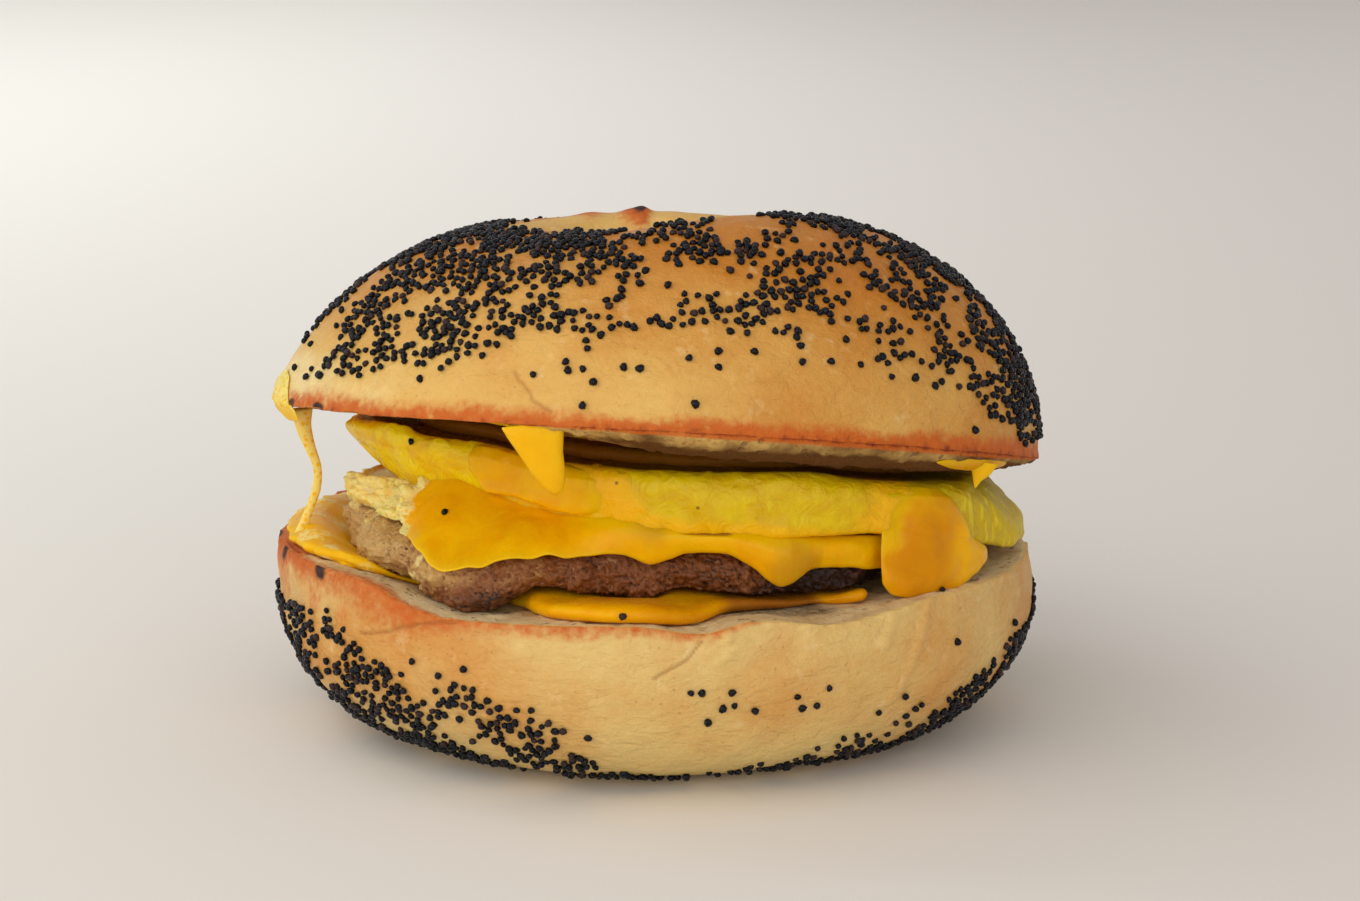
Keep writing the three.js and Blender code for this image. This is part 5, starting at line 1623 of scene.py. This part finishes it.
def make_lower_cheese(look):
    """The slice on the base, with its pool at the left and its lobe in front."""
    lumps = Lumps(NOISE_SEEDS["lower_cheese"])

    def seat_at(x, y):
        radius = np.minimum(np.hypot(x, y), BASE_RIM_RADIUS)
        return base_cut_height(radius, angle_of(x, y)) - LOWER_SLICE_SINK

    def top_at(x, y):
        degrees = angle_of(x, y)
        radius = np.hypot(x, y)
        beyond = blend(-2, 2, radius - around(PATTY_RADII, degrees))
        lobe = 0.5 * blend(14, 4, np.abs(degrees - 265))
        squeezed = 0.8 * patty_lift(x, y) + 0.2
        mound = 1.4 * blend(-42.5, -46, x) * blend(51.5, 48, radius) * blend(20, 8, np.abs(y + 3))
        return seat_at(x, y) + mix(squeezed, LOWER_SLICE_THICKNESS + lobe + mound + 0.3, beyond)

    rings = slab_rings(look.sides, slab_stops(LOWER_SIDE, 26),
                       lambda degrees, level: around(CHEESE_LOWER_RADII, degrees), seat_at, top_at)
    way = outward_from(rings, LOWER_CHEESE_CORE)
    pool = blend(-34, -42, rings[..., 0]) * blend(26, 16, rings[..., 1])
    swirls = np.abs(lumps.layered(rings, 3.4, 2)) * pool
    rings = moved(rings, way, 0.2 * lumps.layered(rings, 4, 2) + 1.5 * swirls)
    degrees = angle_of(rings[..., 0], rings[..., 1])
    froth = 0.5 * pool * blend(0.0, 0.6, lumps.layered(rings + 15, 2.4, 2))
    thin = 0.1 + 0.3 * lumps(rings, 5) + 0.6 * pool - 0.55 * blend(250, 262, degrees)
    # Painted shade: greasy brown on the cheese in shade under the patty's front
    greasy_shade = 0.85 * blend(279, 285, degrees) * blend(303, 299, degrees)
    shell = cheese_shell(rings, thin=thin, froth=froth, crease=greasy_shade)
    make_cheese("lower_cheese", [shell], "cheese_lower", "cheese_lower", look)


def strand(path, widths, depths, sides=24, count=60, **values):
    """A tube of oval sections along a smooth path. Its rings turn with the path."""
    places = smooth_steps(np.column_stack([path, widths, depths]), count)
    middle, width, depth = places[:, :3], places[:, 3], places[:, 4]
    forward = np.gradient(middle, axis=0)
    forward /= np.linalg.norm(forward, axis=1, keepdims=True)
    side = np.cross(forward, (0.0, 1.0, 0.0))
    side /= np.linalg.norm(side, axis=1, keepdims=True)
    front = np.cross(forward, side)
    turn = np.linspace(0, 2 * np.pi, sides, endpoint=False)
    rings = (middle[:, None] + side[:, None] * (width[:, None] * np.cos(turn))[..., None]
             + front[:, None] * (depth[:, None] * np.sin(turn))[..., None])
    return cheese_shell(rings, **values)


POINTED_FLAP_OUTLINE = [
    (-19.2, 50.2), (-18.4, 48.8), (-16.9, 46.5), (-15.3, 43.9), (-13.5, 41.8), (-12.4, 41.2),
    (-11.5, 41.7), (-11.1, 43.2), (-11.2, 45.2), (-11.4, 47), (-11.3, 49.0), (-11.2, 50.4),
    (-15, 50.8),
]


def make_crown_cheese(look):
    """The slice stuck under the crown, with its pointed flap in front."""
    lumps = Lumps(NOISE_SEEDS["crown_cheese"])
    degrees = turn_angles(look.sides)
    front = 5.0 * blend(214, 232, degrees) * blend(276, 262, degrees)
    outline = around(CROWN_SLICE_RADII, degrees) - front + 0.4 * lumps(polar(40.0, degrees, 0.0), 3.0)
    stops = smooth_steps([
        (0.1, 0, 0), (0.6, 0, 0), (0.9, 0, 0), (1, 1.2, 0), (1, 0.3, 0.25), (1, 0, 0.6), (1, 0.5, 0.95),
        (1, 1.5, 1), (0.9, 0, 1), (0.6, 0, 1), (0.1, 0, 1)], 26)
    rings = np.array([
        crown_underside(np.maximum(outline * share - inset, 1.0), degrees,
                        0.15 + level * (CROWN_SLICE_THICKNESS + 0.3))
        for share, inset, level in stops])
    rings[..., 2] += 0.1 * lumps(rings, 3.0)
    slice_shell = cheese_shell(rings, thin=0.3)

    def in_front(x, z, rise):
        depth = -49.7 + 0.16 * (50.0 - z) + 0.015 * (x + 14) ** 2
        return np.stack([x, depth - rise, z], axis=-1)

    flap = patch(POINTED_FLAP_OUTLINE, in_front, lambda flat: 0.95, 5, sides=160, rings=26)
    flap.values["thin"] = np.maximum(flap.values["thin"], 0.55)
    root = strand([(-15, -48.6, 50.3), (-15, -46.5, 50.2), (-14.6, -43, 49.6), (-14.4, -41, 49.2)],
                  [3.6, 3.4, 3.0, 2.0], [0.9, 0.9, 0.8, 0.5], thin=0.5)
    make_cheese("crown_cheese", [slice_shell, flap, root], "cheese_crown", "cheese_under_crown", look)


FILM_OUTLINE = [
    (183, 4.6), (188, 5.6), (193, 6.2), (197.5, 5.4), (200, 3.0), (201.5, 0.8), (203.5, -0.8),
    (203.5, -2.2), (198, -2.4), (194, -1.8), (189, -1.2), (184, 0.6),
]


def on_crown_edge(degrees, rise, offset):
    """A place on the crown's crust at a height over its cut edge, or hanging below the edge."""
    edge = crown_crust(0.0, degrees)
    along = np.interp(np.maximum(rise, 0), (0, 1, 3, 6, 9), (0.0005, 0.004, 0.045, 0.14, 0.25))
    on_crust = crown_crust(along, degrees)
    outward = edge * (1, 1, 0) / np.linalg.norm(edge[..., :2], axis=-1, keepdims=True)
    below = np.minimum(rise, 0)
    hanging = moved(edge + below[..., None] * (0, 0, 1), outward, 0.35 * below)
    return moved(np.where((rise > 0)[..., None], on_crust, hanging), outward, offset)


def make_string(look):
    """The pulled string of cheese at the left end."""
    lumps = Lumps(NOISE_SEEDS["string"])
    stops = np.array(STRING_STOPS)
    shell = strand(stops[:, :3], stops[:, 3], stops[:, 3] * 0.7, thin=0.7, froth=0.38)
    shell.points[:, :, :2] += 0.06 * lumps(shell.points, 1.5)[..., None]
    uneven = lambda flat: 0.5 + 0.25 * lumps(np.pad(flat, ((0, 0), (0, 1))), 1.7)
    film = patch(FILM_OUTLINE, on_crown_edge, uneven, 6, sides=160, rings=24, sunk=0.3)
    film.values["thin"][:] = 1.0
    film.values["froth"] = blend(44.5, 48.5, film.points[..., 2]) * 0.42
    make_cheese("string_cheese", [shell, film], "cheese_string", "cheese_string", look)


SMEAR_OUTLINE = [
    (313.5, 52.9), (315.5, 53.4), (319, 53.7), (324, 53.9), (329, 54.0), (332, 53.8), (332.6, 53.2),
    (329, 52.3), (324, 51.3), (318, 51.8),
]
DRIP_ANGLE = 324.6
DRIP_RADIUS = 52.9
DRIP_PATH = [(0.3, 0.3, 0.1), (0.2, 0, -0.8), (-0.2, 0, -1.9), (-0.5, 0, -3.1)]


def make_smear(look):
    """The smear on the crown's cut face and its pointed drip."""
    under_crown = lambda turn, radius, rise: crown_underside(radius, turn, rise + 0.05)
    smear = patch(SMEAR_OUTLINE, under_crown, lambda flat: 0.45, 4, sides=120, rings=18, sunk=0.3)
    smear.values["thin"] = smear.values["thin"] * 0.2 - 0.35
    drip = strand(crown_underside(DRIP_RADIUS, DRIP_ANGLE) + DRIP_PATH,
                  [2.4, 1.5, 0.7, 0.12], [1.2, 0.8, 0.45, 0.12], thin=0.8)
    make_cheese("smear_cheese", [smear, drip], "cheese_smear", "cheese_smear", look)


# Studio

FLOOR_LIGHT_FADE_MM = 300
FLOOR_NEAR = -1.2
FLOOR_FAR = 4.0
FLOOR_HALF_WIDTH = 3.0
FLOOR_BEND_START = 2.6
FLOOR_STEEPNESS = 1.6
CAMERA_RIGHT = 0.0004
CAMERA_SENSOR_MM = 36.0
CAMERA_SHIFT = 23.6 / 1360
SANDWICH_MIDDLE = (0, 0, 0.03)


def area_light(name, place, aim, size, power, colour):
    """A rectangular lamp at a place, turned towards its aim."""
    data = bpy.data.lights.new(name, "AREA")
    data.shape = "RECTANGLE"
    data.size, data.size_y = size
    data.energy = power
    data.color = colour
    light = bpy.data.objects.new(name, data)
    light.location = place
    light.rotation_euler = (Vector(aim) - Vector(place)).to_track_quat("-Z", "Y").to_euler()
    bpy.context.scene.collection.objects.link(light)


def make_floor(look):
    """A pale floor with painted light, brighter to the left, that curves up into a backdrop far behind.
    """
    depths = np.linspace(FLOOR_NEAR, FLOOR_FAR, 70)
    points = [(x, y, FLOOR_STEEPNESS * max(y - FLOOR_BEND_START, 0.0) ** 2)
              for y in depths for x in (-FLOOR_HALF_WIDTH, FLOOR_HALF_WIDTH)]
    faces = [(2 * row, 2 * row + 1, 2 * row + 3, 2 * row + 2) for row in range(len(depths) - 1)]
    mesh = bpy.data.meshes.new("floor")
    mesh.from_pydata(points, [], faces)
    mesh.shade_smooth()
    floor = bpy.data.objects.new("floor", mesh)
    bpy.context.scene.collection.objects.link(floor)
    paint = Paint("floor_paper")
    across = paint.node("ShaderNodeSeparateXYZ", inputs={0: paint.place})
    # Painted light: the floor fades from bright at the left to its plain colour at the right
    fade = across.between(-FLOOR_LIGHT_FADE_MM, FLOOR_LIGHT_FADE_MM)
    colour = paint.mix(fade, look.floor_light_left, look.floor)
    mesh.materials.append(paint.finish(Base_Color=colour, Roughness=0.9))


def make_camera(look):
    """The camera in front of the sandwich, looking down at it."""
    data = bpy.data.cameras.new("camera")
    data.lens = look.lens
    data.sensor_width = CAMERA_SENSOR_MM
    data.shift_x = CAMERA_SHIFT
    data.clip_start = 0.01
    camera = bpy.data.objects.new("camera", data)
    camera.location = (CAMERA_RIGHT, -look.distance, look.height)
    camera.rotation_euler = (math.pi / 2 - look.pitch, 0.0, 0.0)
    bpy.context.scene.collection.objects.link(camera)
    bpy.context.scene.camera = camera


def make_lights():
    """Soft light from the left and the front, a lit backdrop and a pale sky."""
    world = bpy.data.worlds.new("studio")
    world.use_nodes = True
    background = world.node_tree.nodes["Background"]
    background.inputs["Color"].default_value = (0.97, 0.95, 0.94, 1.0)
    background.inputs["Strength"].default_value = 0.5
    scene = bpy.context.scene
    scene.world = world
    scene.view_settings.view_transform = "Standard"
    area_light("key", (-0.8, -0.65, 0.62), SANDWICH_MIDDLE, (1.7, 1.4), 8.2, (1.0, 0.98, 0.94))
    area_light("fill", (0.25, -1.3, 0.45), SANDWICH_MIDDLE, (1.4, 0.9), 5.8, (1.0, 0.97, 0.92))
    area_light("backdrop", (-1.0, 0.6, 1.3), (-0.7, 2.2, 0.5), (1.2, 1.2), 19.0, (0.93, 0.97, 1.0))


# Operators, panel and registration


class SANDWICH_OT_studio(bpy.types.Operator):
    """Make the floor, the lights and the camera"""
    bl_idname = "sandwich.studio"
    bl_label = "Studio"
    bl_options = {"REGISTER", "UNDO"}

    def execute(self, context):
        make_floor(context.scene.sandwich_studio)
        make_lights()
        make_camera(context.scene.sandwich_studio)
        return {"FINISHED"}


class SANDWICH_OT_bread(bpy.types.Operator):
    """Make both halves of the bagel"""
    bl_idname = "sandwich.bread"
    bl_label = "Bread"
    bl_options = {"REGISTER", "UNDO"}

    def execute(self, context):
        make_base_bread(context.scene.sandwich_bread)
        make_crown_bread(context.scene.sandwich_bread)
        return {"FINISHED"}


class SANDWICH_OT_patty(bpy.types.Operator):
    """Make the sausage patty"""
    bl_idname = "sandwich.patty"
    bl_label = "Sausage patty"
    bl_options = {"REGISTER", "UNDO"}

    def execute(self, context):
        make_patty(context.scene.sandwich_fillings)
        return {"FINISHED"}


class SANDWICH_OT_egg(bpy.types.Operator):
    """Make the folded omelette"""
    bl_idname = "sandwich.egg"
    bl_label = "Omelette"
    bl_options = {"REGISTER", "UNDO"}

    def execute(self, context):
        make_egg(context.scene.sandwich_fillings)
        return {"FINISHED"}


class SANDWICH_OT_cheese(bpy.types.Operator):
    """Make the melted slices, the smear and the string"""
    bl_idname = "sandwich.cheese"
    bl_label = "Melted cheese"
    bl_options = {"REGISTER", "UNDO"}

    def execute(self, context):
        for make in (make_lower_cheese, make_middle_cheese, make_upper_cheese, make_crown_cheese,
                     make_smear, make_string):
            make(context.scene.sandwich_fillings)
        return {"FINISHED"}


class SANDWICH_OT_seeds(bpy.types.Operator):
    """Scatter the poppy seeds on the bread, and a few on the fillings"""
    bl_idname = "sandwich.seeds"
    bl_label = "Seeds"
    bl_options = {"REGISTER", "UNDO"}

    def execute(self, context):
        make_base_seeds(context.scene.sandwich_seeds)
        make_crown_seeds(context.scene.sandwich_seeds)
        return {"FINISHED"}


class SANDWICH_PT_panel(bpy.types.Panel):
    """Lists the sandwich's operators and settings"""
    bl_label = "Bagel sandwich"
    bl_idname = "SANDWICH_PT_panel"
    bl_space_type = "VIEW_3D"
    bl_region_type = "UI"
    bl_category = "Sandwich"

    def draw(self, context):
        scene = context.scene
        for operator in OPERATORS:
            self.layout.operator(operator.bl_idname)
        for name in LOOKS:
            box = self.layout.box()
            look = getattr(scene, name)
            for key in look.__annotations__:
                box.prop(look, key)


LOOKS = {
    "sandwich_bread": BreadLook,
    "sandwich_fillings": FillingLook,
    "sandwich_seeds": SeedLook,
    "sandwich_studio": StudioLook,
}
OPERATORS = (
    SANDWICH_OT_studio, SANDWICH_OT_bread, SANDWICH_OT_patty, SANDWICH_OT_egg, SANDWICH_OT_cheese,
    SANDWICH_OT_seeds,
)


def register():
    """Register the settings, the operators and the panel."""
    for look in LOOKS.values():
        bpy.utils.register_class(look)
    for operator in OPERATORS:
        bpy.utils.register_class(operator)
    bpy.utils.register_class(SANDWICH_PT_panel)
    for name, look in LOOKS.items():
        setattr(bpy.types.Scene, name, PointerProperty(type=look))


def unregister():
    """Undo what register did."""
    for name in LOOKS:
        delattr(bpy.types.Scene, name)
    bpy.utils.unregister_class(SANDWICH_PT_panel)
    for operator in reversed(OPERATORS):
        bpy.utils.unregister_class(operator)
    for look in reversed(LOOKS.values()):
        bpy.utils.unregister_class(look)


def main():
    """Make every piece through its operator."""
    register()
    bpy.ops.sandwich.studio()
    bpy.ops.sandwich.bread()
    bpy.ops.sandwich.patty()
    bpy.ops.sandwich.egg()
    bpy.ops.sandwich.cheese()
    bpy.ops.sandwich.seeds()


if __name__ == "__main__":
    main()
